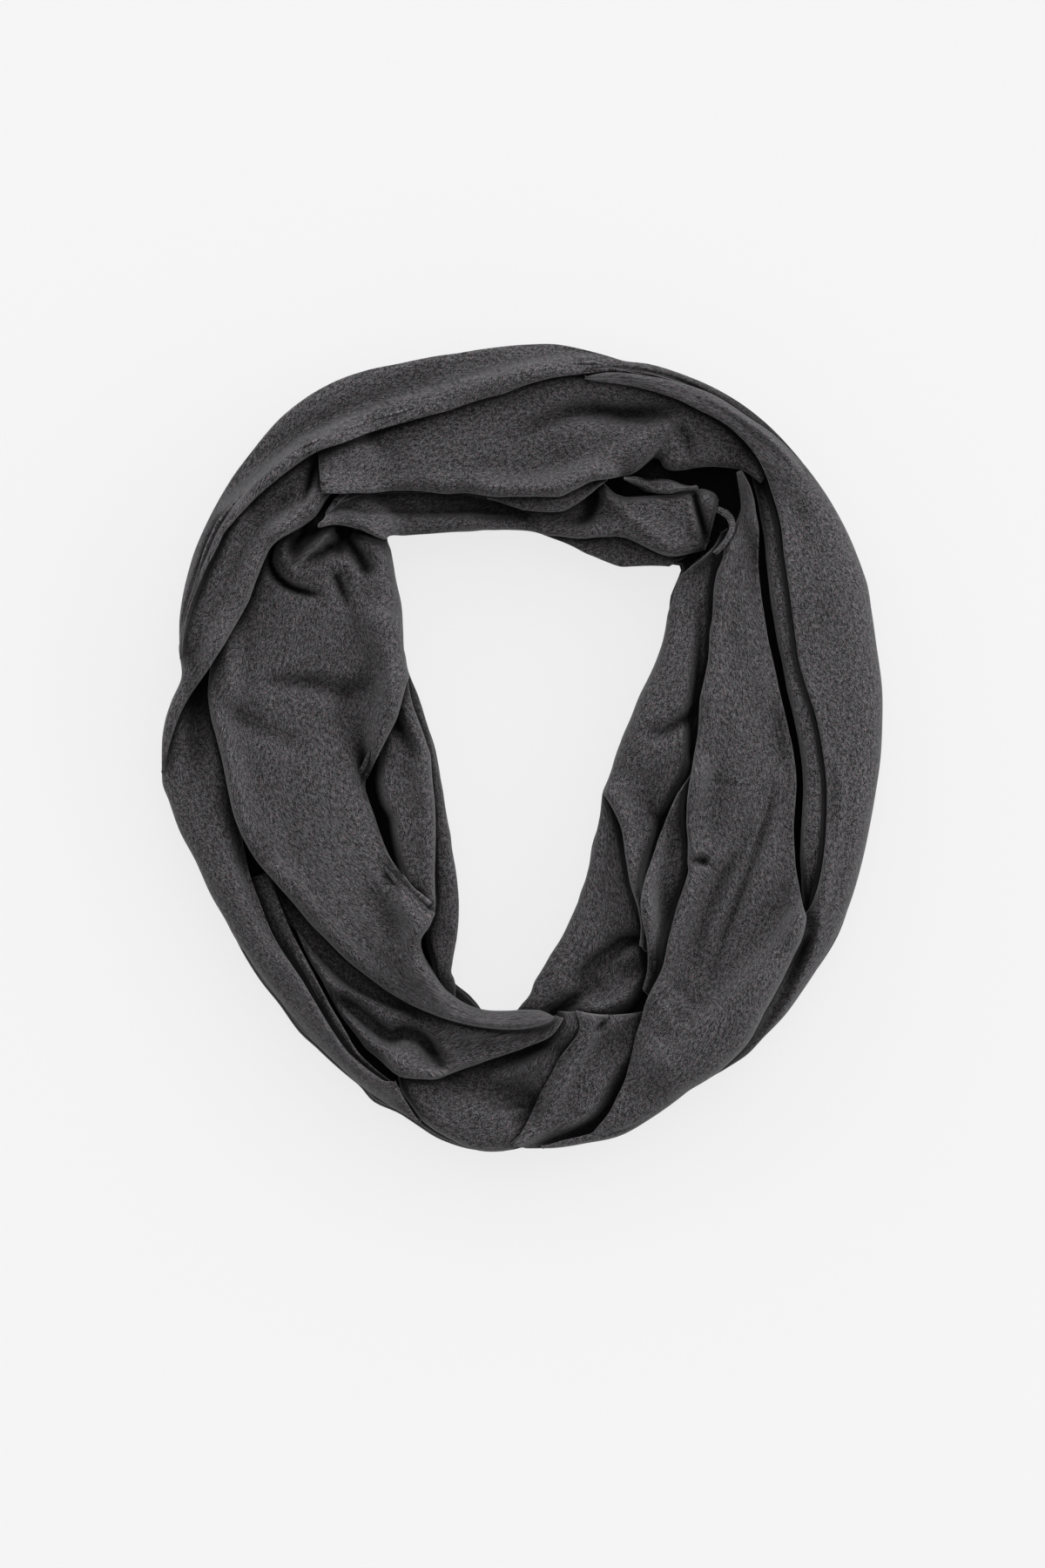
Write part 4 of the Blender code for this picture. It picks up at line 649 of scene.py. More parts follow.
class Ripples:
    """Soft unevenness of the cloth in ring coordinates, longer along the scarf than across it."""

    TURNS = 720
    ACROSS = 340
    ACROSS_FROM = -0.085
    ACROSS_STEP = 0.0005

    def __init__(self, seed, along_m, across_m):
        noise = np.random.default_rng(seed).standard_normal((self.TURNS, self.ACROSS))
        along_step = 2.0 * math.pi * 0.5 * (SPINE_HALF_WIDTH + SPINE_HALF_LENGTH) / self.TURNS
        along = np.fft.fftfreq(self.TURNS)[:, None] * along_m / along_step
        across = np.fft.rfftfreq(self.ACROSS)[None, :] * across_m / self.ACROSS_STEP
        soft = np.exp(-2.0 * math.pi ** 2 * (along ** 2 + across ** 2))
        field = np.fft.irfft2(np.fft.rfft2(noise) * soft, s=noise.shape)
        self.field = field / field.std()

    def at(self, deg, out):
        """Height of the ripples at ring coordinates, where 1 is their usual height."""
        turn = (deg % 360.0) / 360.0 * self.TURNS
        step = (out - self.ACROSS_FROM) / self.ACROSS_STEP
        turn_cell = np.floor(turn).astype(int)
        step_cell = np.clip(np.floor(step).astype(int), 0, self.ACROSS - 2)
        rows = (turn_cell % self.TURNS, (turn_cell + 1) % self.TURNS)
        return between(self.field, rows, step_cell, turn - turn_cell, np.clip(step - step_cell, 0.0, 1.0))


class Plan:
    """A stretch seen from above: stations along it, and columns across each of them."""

    def __init__(self, stretch, sizes):
        self.stretch = stretch
        self.wall = sizes.cloth_wall
        share = np.linspace(0.0, 1.0, LINE_STEPS)
        sides = [self.edge(stretch.inner, NECK, share), self.edge(stretch.outer, OUTER_RIM, share)]
        lines = [np.stack(ring_point(*side), axis=1) for side in sides]
        travel = 0.5 * (lengths_along(lines[0]) + lengths_along(lines[1]))
        count = max(LEAST_STATIONS, int(round(travel[-1] / STATION_SPACING)) + 1)
        self.travel = np.linspace(0.0, travel[-1], count)
        share = np.interp(self.travel, travel, share)
        inner_deg, inner_out = self.edge(stretch.inner, NECK, share)
        outer_deg, outer_out = self.edge(stretch.outer, OUTER_RIM, share)
        x0, y0 = ring_point(inner_deg, inner_out)
        x1, y1 = ring_point(outer_deg, outer_out)
        self.width = np.hypot(x1 - x0, y1 - y0)
        knots, heights = zip(*stretch.crest)
        self.crest = smooth_curve(knots, np.array(heights) * MM, knots[0] + share * (knots[-1] - knots[0]))
        columns = max(LEAST_COLUMNS, int(round(self.width.max() / COLUMN_SPACING)))
        self.share = 0.5 - 0.5 * np.cos(np.linspace(0.0, math.pi, columns))
        self.deg = inner_deg[:, None] * (1.0 - self.share) + outer_deg[:, None] * self.share
        self.out = inner_out[:, None] * (1.0 - self.share) + outer_out[:, None] * self.share
        self.x, self.y = ring_point(self.deg, self.out)
        self.ample = np.clip((self.width - NARROW_FROM) / (NARROW_TO - NARROW_FROM), 0.0, 1.0)
        self.firm = np.interp(inner_deg, *np.array(stretch.firm, dtype=float).T)

    @staticmethod
    def edge(rows, rim_table, share):
        """Angle and distance out of an edge at shares of its way, held to the outline where it says RIM."""
        knots = np.array([row[0] for row in rows], dtype=float)
        on_rim = np.array([row[1] is RIM for row in rows], dtype=float)
        rim = outline(knots, rim_table)
        own = np.array([rim[i] if row[1] is RIM else row[1] * MM for i, row in enumerate(rows)])
        deg = knots[0] + share * (knots[-1] - knots[0])
        held = np.interp(deg, knots, on_rim)
        return deg, held * outline(deg, rim_table) + (1.0 - held) * smooth_curve(knots, own, deg)

    def roll(self, full_roll):
        """Radius of a rolled edge at each station, smaller where the stretch is narrow."""
        return NARROW_ROLL + (full_roll - NARROW_ROLL) * self.ample

    def rise(self, ripples):
        """Height of the cloth's top over what it lies on, at every station and column."""
        stretch = self.stretch
        from_inner = self.width[:, None] * self.share
        from_outer = self.width[:, None] * (1.0 - self.share)
        sides = []
        lift = 0.0
        for distance, roll, reach, firm in (
                (from_inner, stretch.inner_roll, stretch.inner_shoulder, self.firm[:, None]),
                (from_outer, stretch.outer_roll, stretch.outer_shoulder, 1.0)):
            reach = np.minimum(reach, 0.5 * self.width)[:, None]
            firm = firm if roll else 0.0
            sides.append(firm * shoulder(distance, reach) + (1.0 - firm) * slope_in(distance, reach))
            if roll:
                share = (LEAST_LIFT + (1.0 - LEAST_LIFT) * firm) * (self.roll(roll) - self.wall)[:, None]
                lift = lift + share * np.clip(1.0 - distance / reach, 0.0, 1.0)
        full = np.minimum(self.crest, self.width)[:, None] * sides[0] * sides[1]
        ends = np.ones(len(self.travel))
        end_shoulder = min(stretch.inner_shoulder, stretch.outer_shoulder)
        if stretch.open_end == "last":
            ends = shoulder(self.travel[-1] - self.travel, end_shoulder)
        if stretch.open_end == "first":
            ends = shoulder(self.travel, end_shoulder)
        height = full * ends[:, None] + lift + self.wall
        inland = sides[0] * sides[1] * ends[:, None]
        for crease in stretch.creases:
            height = height - crease_depth(crease, self.x, self.y) * inland
        for ripple, size in ripples:
            height = height + size * ripple.at(self.deg, self.out) * inland
        return np.maximum(height, self.wall)


def crease_depth(crease, x, y):
    """Depth of one crease at each place: soft on both sides, and as deep along it as its places say."""
    deg, out, depth = np.array(crease.places, dtype=float).T
    points = np.stack(ring_point(deg, out * MM), axis=1)
    travel = lengths_along(points)
    at = np.linspace(0.0, travel[-1], CREASE_STEPS)
    line_x = smooth_curve(travel, points[:, 0], at)
    line_y = smooth_curve(travel, points[:, 1], at)
    depth = smooth_curve(travel, depth * MM, at)
    way_x = np.gradient(line_x)
    way_y = np.gradient(line_y)
    off_x = x.reshape(-1, 1) - line_x
    off_y = y.reshape(-1, 1) - line_y
    away = np.hypot(off_x, off_y)
    nearest = away.argmin(axis=1)
    row = np.arange(len(nearest))
    side = way_x[nearest] * off_y[row, nearest] - way_y[nearest] * off_x[row, nearest]
    width = np.where(side > 0.0, crease.left_mm, crease.right_mm) * MM
    return (depth[nearest] * np.exp(-(away[row, nearest] / width) ** 2)).reshape(x.shape)


def shifted(grid, steps, axis):
    """The grid moved by whole cells along one axis, with its edge cells repeated."""
    count = grid.shape[axis]
    return grid.take(np.clip(np.arange(count) - steps, 0, count - 1), axis)


def widened(grid, cells):
    """Each cell raised to the highest within a square of the given half width."""
    for axis in (0, 1):
        widest = grid
        for steps in range(1, cells + 1):
            widest = np.maximum(widest, np.maximum(shifted(grid, steps, axis), shifted(grid, -steps, axis)))
        grid = widest
    return grid


def blurred(grid, cells):
    """Each cell averaged along both axes with bell weights."""
    weights = np.exp(-0.5 * (np.arange(-2 * cells, 2 * cells + 1) / cells) ** 2)
    for axis in (0, 1):
        total = np.zeros_like(grid)
        for steps, weight in zip(range(-2 * cells, 2 * cells + 1), weights / weights.sum()):
            total += weight * shifted(grid, steps, axis)
        grid = total
    return grid


class Pile:
    """Height of everything laid down so far, cell by cell in plan."""

    def __init__(self):
        self.height = np.zeros([int(2 * half / CELL) for half in PLAN_HALF])

    def cells(self, x, y):
        """Grid places of the given plan positions."""
        column = np.clip(((x + PLAN_HALF[0]) / CELL).astype(int), 0, self.height.shape[0] - 1)
        row = np.clip(((y + PLAN_HALF[1]) / CELL).astype(int), 0, self.height.shape[1] - 1)
        return column, row

    def add(self, points):
        """Raises the pile to the given points of a shell."""
        np.maximum.at(self.height, self.cells(points[:, 0], points[:, 1]), points[:, 2])

    def bed(self, x, y):
        """Height of a smooth bed over the pile, which spans its small gaps, at the given places."""
        wide = widened(self.height, int(BRIDGE / CELL))
        filled = (wide > 0.0).astype(float)
        cells = int(BLUR / CELL)
        smooth = blurred(wide, cells) / np.maximum(blurred(filled, cells), LEAST_FILL)
        column = (x + PLAN_HALF[0]) / CELL - 0.5
        row = (y + PLAN_HALF[1]) / CELL - 0.5
        left = np.floor(column).astype(int)
        below = np.floor(row).astype(int)
        return between(smooth, (left, left + 1), below, column - left, row - below)

    def open_sky(self, points):
        """Share of the sky that each place sees past the pile round it."""
        share = np.zeros(len(points))
        for turn in np.linspace(0.0, 2.0 * math.pi, SKY_TURNS, endpoint=False):
            steepest = np.zeros(len(points))
            for reach in SKY_REACHES:
                beside = self.cells(points[:, 0] + reach * math.cos(turn), points[:, 1] + reach * math.sin(turn))
                steepest = np.maximum(steepest, (self.height[beside] - points[:, 2]) / reach)
            share += 1.0 / (1.0 + steepest ** 2)
        return share / SKY_TURNS


class Shell:
    """One stretch of cloth: an outer skin, and an inner skin one cloth wall inside it."""

    def __init__(self, plan, pile, ripples):
        self.plan = plan
        self.wall = plan.wall
        stretch = plan.stretch
        top = pile.bed(plan.x, plan.y) + CLOTH_GAP + plan.rise(ripples)
        body = np.stack((plan.x, plan.y, top), axis=2)
        first = self.hook(body[:, 0], body[:, 1], stretch.inner_roll)
        last = self.hook(body[:, -1], body[:, -2], stretch.outer_roll)[:, ::-1]
        self.hooks = (first.shape[1], last.shape[1])
        self.outer = np.concatenate((first, body, last), axis=1)
        self.settle(pile)

    def hook(self, edge, inside, full_roll):
        """Points of the cloth that turns under at a rolled edge, from its end up to the edge."""
        if not full_roll:
            return np.zeros((len(edge), 0, 3))
        roll = self.plan.roll(full_roll)
        inward = inside[:, :2] - edge[:, :2]
        inward = inward / np.linalg.norm(inward, axis=1)[:, None]
        points = []
        for turn in HOOK_TURNS:
            angle = np.radians(turn) * (LEAST_TURN + (1.0 - LEAST_TURN) * self.plan.ample)
            place = edge.copy()
            place[:, :2] += inward * (roll * (1.0 - np.cos(angle)))[:, None]
            place[:, 2] -= roll * np.sin(angle)
            points.append(place)
        return np.stack(points, axis=1)

    def inner(self):
        """The inner skin, one wall in from the outer skin along its normals."""
        along = np.gradient(self.outer, axis=0)
        across = np.gradient(self.outer, axis=1)
        normal = np.cross(across, along)
        normal /= np.linalg.norm(normal, axis=2)[:, :, None]
        facing = np.sign(normal[:, normal.shape[1] // 2, 2].mean())
        return self.outer - self.wall * facing * normal

    def samples(self):
        """Corners and middles of both skins' cells, and the grid place of the cell each belongs to."""
        skins = np.stack((self.outer, self.inner()))
        corner = skins[:, :-1, :-1]
        beside = skins[:, 1:, :-1]
        above = skins[:, :-1, 1:]
        across = skins[:, 1:, 1:]
        return np.stack((corner, (corner + beside) / 2, (corner + above) / 2, (corner + across) / 2,
                         (beside + above) / 2, across))

    def settle(self, pile):
        """Lifts the shell until every place on it clears the pile, and lets it down to rest."""
        top = widened(pile.height, 1)
        for _ in range(SETTLE_ROUNDS):
            places = self.samples()
            short = top[pile.cells(places[..., 0], places[..., 1])] + CLOTH_GAP - places[..., 2]
            short = np.maximum(short.max(axis=(0, 1)), 0.0)
            if short.max() < NEAR_ENOUGH:
                break
            lift = np.zeros(self.outer.shape[:2])
            for step in ((slice(None, -1), slice(None, -1)), (slice(1, None), slice(None, -1)),
                         (slice(None, -1), slice(1, None)), (slice(1, None), slice(1, None))):
                lift[step] = np.maximum(lift[step], short)
            self.share_hooks(lift)
            self.outer[:, :, 2] += np.maximum(blurred(widened(lift, LIFT_SPREAD), LIFT_BLUR), lift)
        places = self.samples()
        clear = (places[..., 2] - top[pile.cells(places[..., 0], places[..., 1])]).min()
        self.outer[:, :, 2] -= max(clear - CLOTH_GAP, 0.0)
        pile.add(self.samples().reshape(-1, 3))

    def share_hooks(self, lift):
        """A rolled edge keeps its shape, so its points all rise as far as the highest."""
        first, last = self.hooks
        if first:
            lift[:, :first + 1] = lift[:, :first + 1].max(axis=1)[:, None]
        if last:
            lift[:, -last - 1:] = lift[:, -last - 1:].max(axis=1)[:, None]

    def solid(self):
        """Points and faces of the closed shell."""
        stations, columns = self.outer.shape[:2]
        points = np.concatenate((self.outer.reshape(-1, 3), self.inner().reshape(-1, 3)))
        corner = (np.arange(stations - 1)[:, None] * columns + np.arange(columns - 1)).ravel()
        skin = np.stack((corner, corner + 1, corner + columns + 1, corner + columns), axis=1)
        second = stations * columns
        rim = list(range(columns))
        rim += [row * columns + columns - 1 for row in range(1, stations)]
        rim += [(stations - 1) * columns + column for column in range(columns - 2, -1, -1)]
        rim += [row * columns for row in range(stations - 2, 0, -1)]
        rim = np.array(rim)
        after = np.roll(rim, -1)
        border = np.stack((after, rim, rim + second, after + second), axis=1)
        return points, np.concatenate((skin, skin[:, ::-1] + second, border))

    def cloth_places(self):
        """Place of every point of both skins in the cloth."""
        place = cloth_places(self.outer, self.outer.shape[1] // 2)
        return np.concatenate((place, place))


class HiddenLayers:
    """The folded layers that nothing shows of, as one rounded solid with layered edges."""

    FOOT_INSET = 0.0030
    WAIST = 0.0022
    BULGE = 0.0008
    LAYER_INSET = 0.0010
    TURNS = (20.0, 160.0, 8)
    TOP_INSET = 0.0110
    TOP_CROWN = 0.6
    UNEVEN = 0.0006
    UNEVEN_OUT = 0.03
    UNEVEN_UP = 0.002
    AROUND_STEPS = 4
    ACROSS_STEPS = 40

    def __init__(self, ripples):
        profile = self.profile()
        deg = np.linspace(0.0, 360.0, HIDDEN_STATIONS, endpoint=False)
        inner = outline(deg, NECK)
        outer = outline(deg, OUTER_RIM)
        columns = []
        for side, inset, height in profile:
            place = self.UNEVEN_OUT if side == "outer" else -self.UNEVEN_OUT
            uneven = self.UNEVEN * ripples.at(deg, self.UNEVEN_UP * height / HIDDEN_LAYER + place)
            out = {"inner": inner + inset + uneven, "outer": outer - inset - uneven,
                   "middle": 0.5 * (inner + outer)}[side]
            x, y = ring_point(deg, out)
            columns.append(np.stack((x, y, np.full_like(x, height)), axis=1))
        self.ring = np.stack(columns, axis=1)

    def profile(self):
        """Half outline of the layers on each side, as side, inset and height."""
        layer = HIDDEN_LAYER
        side = [(self.FOOT_INSET, 0.0)]
        for number in range(HIDDEN_LAYERS):
            for turn in np.linspace(*self.TURNS):
                inset = self.BULGE + number * self.LAYER_INSET
                side.append((inset + self.WAIST * (1.0 - math.sin(math.radians(turn))),
                             (number + 0.5 - 0.5 * math.cos(math.radians(turn))) * layer))
        side.append((self.TOP_INSET, HIDDEN_LAYERS * layer + self.TOP_CROWN * HIDDEN_CROWN))
        top = [("middle", 0.0, HIDDEN_LAYERS * layer + HIDDEN_CROWN)]
        outer = [("outer", inset, height) for inset, height in side]
        inner = [("inner", inset, height) for inset, height in reversed(side)]
        return outer + top + inner

    def solid(self):
        """Points and faces of the closed ring."""
        stations, columns = self.ring.shape[:2]
        station = np.arange(stations)[:, None]
        column = np.arange(columns)[None, :]
        here = station * columns
        there = (station + 1) % stations * columns
        beside = (column + 1) % columns
        faces = np.stack(np.broadcast_arrays(here + column, there + column, there + beside, here + beside), axis=2)
        return self.ring.reshape(-1, 3), faces.reshape(-1, 4)

    def top_places(self):
        """Places spread over the top, for the pile."""
        stations, columns = self.ring.shape[:2]
        around = np.linspace(0.0, stations, stations * self.AROUND_STEPS, endpoint=False)
        first = around.astype(int) % stations
        second = (first + 1) % stations
        share = (around % 1.0)[:, None, None]
        ring = self.ring[first] * (1.0 - share) + self.ring[second] * share
        spread = []
        for start in range(columns - 1):
            for step in np.linspace(0.0, 1.0, self.ACROSS_STEPS):
                spread.append(ring[:, start] * (1.0 - step) + ring[:, start + 1] * step)
        return np.concatenate(spread)

    def cloth_places(self):
        """Place of every point in the cloth."""
        return cloth_places(self.ring, 0)


class Wire:
    """A socket of a material, on which arithmetic adds Math nodes."""

    def __init__(self, finish, socket):
        self.finish = finish
        self.socket = socket

    def maths(self, operation, *values):
        """A Math node on the given values, or on this one alone."""
        return self.finish.add("ShaderNodeMath", {"operation": operation}, dict(enumerate(values or (self,))))

    def __add__(self, other):
        return self.maths("ADD", self, other)

    def __radd__(self, other):
        return self.maths("ADD", other, self)

    def __sub__(self, other):
        return self.maths("SUBTRACT", self, other)

    def __rsub__(self, other):
        return self.maths("SUBTRACT", other, self)

    def __mul__(self, other):
        return self.maths("MULTIPLY", self, other)

    def soft_step(self, low, high):
        """0 below low, 1 above high, and smooth between them."""
        settings = {"interpolation_type": "SMOOTHSTEP"}
        return self.finish.add("ShaderNodeMapRange", settings, {"Value": self, "From Min": low, "From Max": high})


class Finish:
    """A material or world being put together: one call adds a node with its settings and sockets."""

    def __init__(self, owner):
        owner.use_nodes = True
        self.owner = owner
        self.tree = owner.node_tree
        self.tree.nodes.clear()

    def add(self, node_type, settings, values, output=0):
        """Adds a node and gives the wire of one of its outputs."""
        node = self.tree.nodes.new(node_type)
        for name, value in settings.items():
            setattr(node, name, value)
        for key, value in values.items():
            if isinstance(value, Wire):
                self.tree.links.new(value.socket, node.inputs[key])
            else:
                node.inputs[key].default_value = value
        return Wire(self, node.outputs[output])

    def close(self, shader, output="ShaderNodeOutputMaterial"):
        """Links the finished shader to the output."""
        node = self.tree.nodes.new(output)
        self.tree.links.new(shader.socket, node.inputs["Surface"])
        return self.owner


def jersey_finish(look):
    """Heathered jersey: dark and light fibres spun together, fine wales along the cloth, a soft nap, and shade
    painted into the colour of hollows.
    """
    finish = Finish(bpy.data.materials.new("charcoal_heather_jersey"))
    cloth = finish.add("ShaderNodeAttribute", {"attribute_name": "cloth"}, {}, "Vector")
    sky = finish.add("ShaderNodeAttribute", {"attribute_name": "sky"}, {}, "Fac")

    def noise(stretch, detail, roughness):
        place = finish.add("ShaderNodeVectorMath", {"operation": "MULTIPLY"}, {0: cloth, 1: stretch})
        return finish.add("ShaderNodeTexNoise", {}, {"Vector": place, "Scale": 1.0, "Detail": detail,
                                                     "Roughness": roughness}, "Fac")

    flecks = noise(*FLECKS)
    fibres = noise(*FIBRES)
    clumps = noise(*CLUMPS)
    clouds = noise(*CLOUDS)
    warm = noise(*WARMTH)
    shade = (1.0 + (flecks - NOISE_MIDDLE) * look.fleck_contrast + (fibres - NOISE_MIDDLE) * look.fibre_contrast
             + (clumps - NOISE_MIDDLE) * look.clump_contrast + (clouds - NOISE_MIDDLE) * look.cloud_contrast)
    # Painted shade: the colour darkens by a power of the share of sky each place sees, and further still where that
    # share is small.
    deep_hollow_painted_shade = PAINTED_SHADE_LEAST + sky.soft_step(PAINTED_SHADE_FROM, PAINTED_SHADE_TO) * (1.0 - PAINTED_SHADE_LEAST)
    painted_shade = sky.maths("POWER", sky, look.painted_shade_strength) * deep_hollow_painted_shade
    # The heather's tone, multiplied by the painted shade of the hollows.
    shade = shade.maths("MAXIMUM", shade, DARKEST) * painted_shade
    tint = finish.add("ShaderNodeMix", {"data_type": "RGBA"},
                      {"Factor": warm.soft_step(WARM_FROM, WARM_TO) * WARM_SHARE, "A": (*look.cloth_colour, 1.0),
                       "B": (*look.warm_fleck, 1.0)}, "Result")
    colour = finish.add("ShaderNodeVectorMath", {"operation": "SCALE"}, {0: tint, "Scale": shade})
    across = finish.add("ShaderNodeSeparateXYZ", {}, {0: cloth}, "Y")
    wale = (across * (math.pi / look.wale_pitch)).maths("SINE")
    height = wale * wale * NAP_WALES + flecks * NAP_FLECKS + fibres * NAP_FIBRES + clumps * NAP_CLUMPS
    nap = finish.add("ShaderNodeBump", {}, {"Strength": NAP_STRENGTH, "Distance": NAP_DEPTH, "Height": height},
                     "Normal")
    shader = finish.add(
        "ShaderNodeBsdfPrincipled", {},
        {"Base Color": colour, "Roughness": ROUGH_BASE + fibres * ROUGH_FIBRES, "Normal": nap,
         "Specular IOR Level": SHINE, "Sheen Weight": look.sheen, "Sheen Roughness": SHEEN_ROUGHNESS,
         "Sheen Tint": SHEEN_TINT})
    return finish.close(shader)


def add_piece(name, points, faces, cloth_places, material):
    """One named mesh of cloth, riding on the body and standing for its solid."""
    mesh = bpy.data.meshes.new(name)
    mesh.from_pydata(points.tolist(), [], faces.tolist())
    mesh.shade_smooth()
    place = mesh.attributes.new("cloth", "FLOAT_VECTOR", "POINT")
    place.data.foreach_set("vector", cloth_places.astype(np.float32).ravel())
    mesh.materials.append(material)
    piece = bpy.data.objects.new(name + "_cloth", mesh)
    bpy.context.scene.collection.objects.link(piece)
    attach(piece, "root")
    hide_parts(name)
    return piece


class ScarfSizes(bpy.types.PropertyGroup):
    """Sizes of the cloth."""

    cloth_wall: bpy.props.FloatProperty(
        name="Cloth wall", description="Thickness of the jersey", default=0.0013, unit="LENGTH")
    broad_ripple: bpy.props.FloatProperty(
        name="Broad ripples", description="Usual height of the cloth's broad unevenness", default=0.0007,
        unit="LENGTH")
    small_ripple: bpy.props.FloatProperty(
        name="Small ripples", description="Usual height of the cloth's small unevenness", default=0.00024,
        unit="LENGTH")


class ScarfLook(bpy.types.PropertyGroup):
    """Colours and finish of the cloth, the shade painted into its hollows, and the light on it."""

    cloth_colour: bpy.props.FloatVectorProperty(
        name="Cloth colour", description="Usual colour of the heather", subtype="COLOR", size=3,
        default=frame["record"]["materials"][0]["base_color"])
    warm_fleck: bpy.props.FloatVectorProperty(
        name="Warm fleck", description="Colour of the few warmer fibres", subtype="COLOR", size=3,
        default=(0.095, 0.062, 0.066))
    fleck_contrast: bpy.props.FloatProperty(
        name="Fleck contrast", description="How far the spun flecks differ in shade", default=5.5)
    fibre_contrast: bpy.props.FloatProperty(
        name="Fibre contrast", description="How far the loose fibres differ in shade", default=6.0)
    clump_contrast: bpy.props.FloatProperty(
        name="Clump contrast", description="How far clumps of fibre differ in shade", default=3.6)
    cloud_contrast: bpy.props.FloatProperty(
        name="Cloud contrast", description="How far broad patches differ in shade", default=0.25)
    # Strength of the shade painted into the colour of hollows between folds.
    painted_shade_strength: bpy.props.FloatProperty(
        name="Hollow shade", description="How strongly hollows between folds darken", default=1.4)
    wale_pitch: bpy.props.FloatProperty(
        name="Wale pitch", description="Distance between the knit's wales", default=0.0011, unit="LENGTH")
    sheen: bpy.props.FloatProperty(
        name="Sheen", description="Strength of the soft light on the nap", subtype="FACTOR", default=0.35)
    floor_colour: bpy.props.FloatVectorProperty(
        name="Floor colour", description="Colour of the white table", subtype="COLOR", size=3,
        default=(0.93, 0.93, 0.93))
    key_power: bpy.props.FloatProperty(
        name="Key light", description="Power of the large light above the top edge", default=6.0, unit="POWER")
    tent_low: bpy.props.FloatProperty(
        name="Tent, low", description="Strength of the light from low down", default=2.55)
    tent_high: bpy.props.FloatProperty(
        name="Tent, high", description="Strength of the light from overhead", default=0.35)
    tent_lean: bpy.props.FloatVectorProperty(
        name="Tent lean", description="Way to the brightest side of the tent", subtype="DIRECTION", size=3,
        default=(0.5, 0.866, 0.0))
    tent_side: bpy.props.FloatProperty(
        name="Tent side", description="How much stronger the brightest side of the tent is", default=0.75)


PILE = Pile()


def paint_hollow_shade():
    """Notes on every piece how much of the sky each of its places sees past the folds round it, from which the
    material paints shade into the colour of hollows.
    """
    for piece in bpy.context.scene.objects:
        if piece.type == "MESH" and "cloth" in piece.data.attributes:
            points = np.empty(len(piece.data.vertices) * 3)
            piece.data.vertices.foreach_get("co", points)
            points = points.reshape(-1, 3)
            # The share of sky is the mask of the shade painted into the cloth's colour.
            sky = piece.data.attributes.new("sky", "FLOAT", "POINT")
            sky.data.foreach_set("value", PILE.open_sky(points).astype(np.float32))
            points[:, :2] *= 1.0 - (points[:, 2:] - SIGHT_LEVEL) / SIGHT_HEIGHT
            piece.data.vertices.foreach_set("co", points.ravel())
            piece.data.update()


class Laying:
    """What the operators that lay cloth share."""

    bl_options = {"REGISTER"}

    def lay(self, stretches):
        """Lays stretches of cloth on the pile, lowest first."""
        sizes = bpy.context.scene.scarf_sizes
        if not PILE.height.any():
            raise RuntimeError("lay the hidden layers first")
        ripples = ((Ripples(*BROAD_RIPPLES), sizes.broad_ripple), (Ripples(*SMALL_RIPPLES), sizes.small_ripple))
        jersey = bpy.data.materials["charcoal_heather_jersey"]
        for stretch in stretches:
            shell = Shell(Plan(stretch, sizes), PILE, ripples)
            points, faces = shell.solid()
            piece = add_piece(stretch.name, points, faces, shell.cloth_places(), jersey)
        return {"FINISHED"}


class SCARF_OT_hidden_layers(Laying, bpy.types.Operator):
    """Lay the folded layers at the bottom of the pile"""

    bl_idname = "scarf.hidden_layers"
    bl_label = "Hidden layers"

    def execute(self, context):
        material = jersey_finish(context.scene.scarf_look)
        layers = HiddenLayers(Ripples(*LAYER_RIPPLES))
        points, faces = layers.solid()
        add_piece("hidden_layers", points, faces, layers.cloth_places(), material)
        PILE.add(layers.top_places())
        return {"FINISHED"}


class SCARF_OT_under_folds(Laying, bpy.types.Operator):
    """Lay the folds that peep out round the neck hole"""

    bl_idname = "scarf.under_folds"
    bl_label = "Under folds"

    def execute(self, context):
        return self.lay(UNDER_FOLDS)


class SCARF_OT_lower_left(Laying, bpy.types.Operator):
    """Lay the panels at the bottom and the folds at the lower left"""

    bl_idname = "scarf.lower_left"
    bl_label = "Bottom and lower left"

    def execute(self, context):
        return self.lay(LOWER_LEFT)


class SCARF_OT_left_side(Laying, bpy.types.Operator):
    """Lay the outer band, the front panel and the upper roll of the left side"""

    bl_idname = "scarf.left_side"
    bl_label = "Left side"

    def execute(self, context):
        return self.lay(LEFT_SIDE)


class SCARF_OT_top_inner(Laying, bpy.types.Operator):
    """Lay the band and fold along the top of the neck hole"""

    bl_idname = "scarf.top_inner"
    bl_label = "Top, inner folds"

    def execute(self, context):
        return self.lay(TOP_INNER)


class SCARF_OT_top_outer(Laying, bpy.types.Operator):
    """Lay the front panel and the outer sweep of the top"""

    bl_idname = "scarf.top_outer"
    bl_label = "Top, outer panels"

    def execute(self, context):
        return self.lay(TOP_OUTER)


class SCARF_OT_right_side(Laying, bpy.types.Operator):
    """Lay the outer turn and the panels of the right side"""

    bl_idname = "scarf.right_side"
    bl_label = "Right side"

    def execute(self, context):
        return self.lay(RIGHT_SIDE)


class SCARF_OT_knot(Laying, bpy.types.Operator):
    """Lay the small twisted folds where the top and right sides cross"""

    bl_idname = "scarf.knot"
    bl_label = "Knot of folds"

    def execute(self, context):
        self.lay(KNOT)
        paint_hollow_shade()
        return {"FINISHED"}


def floor_finish(look):
    """White table that glows a little, so that only a faint shadow lies on it."""
    finish = Finish(bpy.data.materials.new("white_table"))
    paint = finish.add("ShaderNodeBsdfDiffuse", {}, {"Color": (*look.floor_colour, 1.0)})
    glow = finish.add("ShaderNodeEmission", {}, {"Color": (*look.floor_colour, 1.0), "Strength": 1.0})
    return finish.close(finish.add("ShaderNodeMixShader", {}, {0: FLOOR_GLOW, 1: paint, 2: glow}))


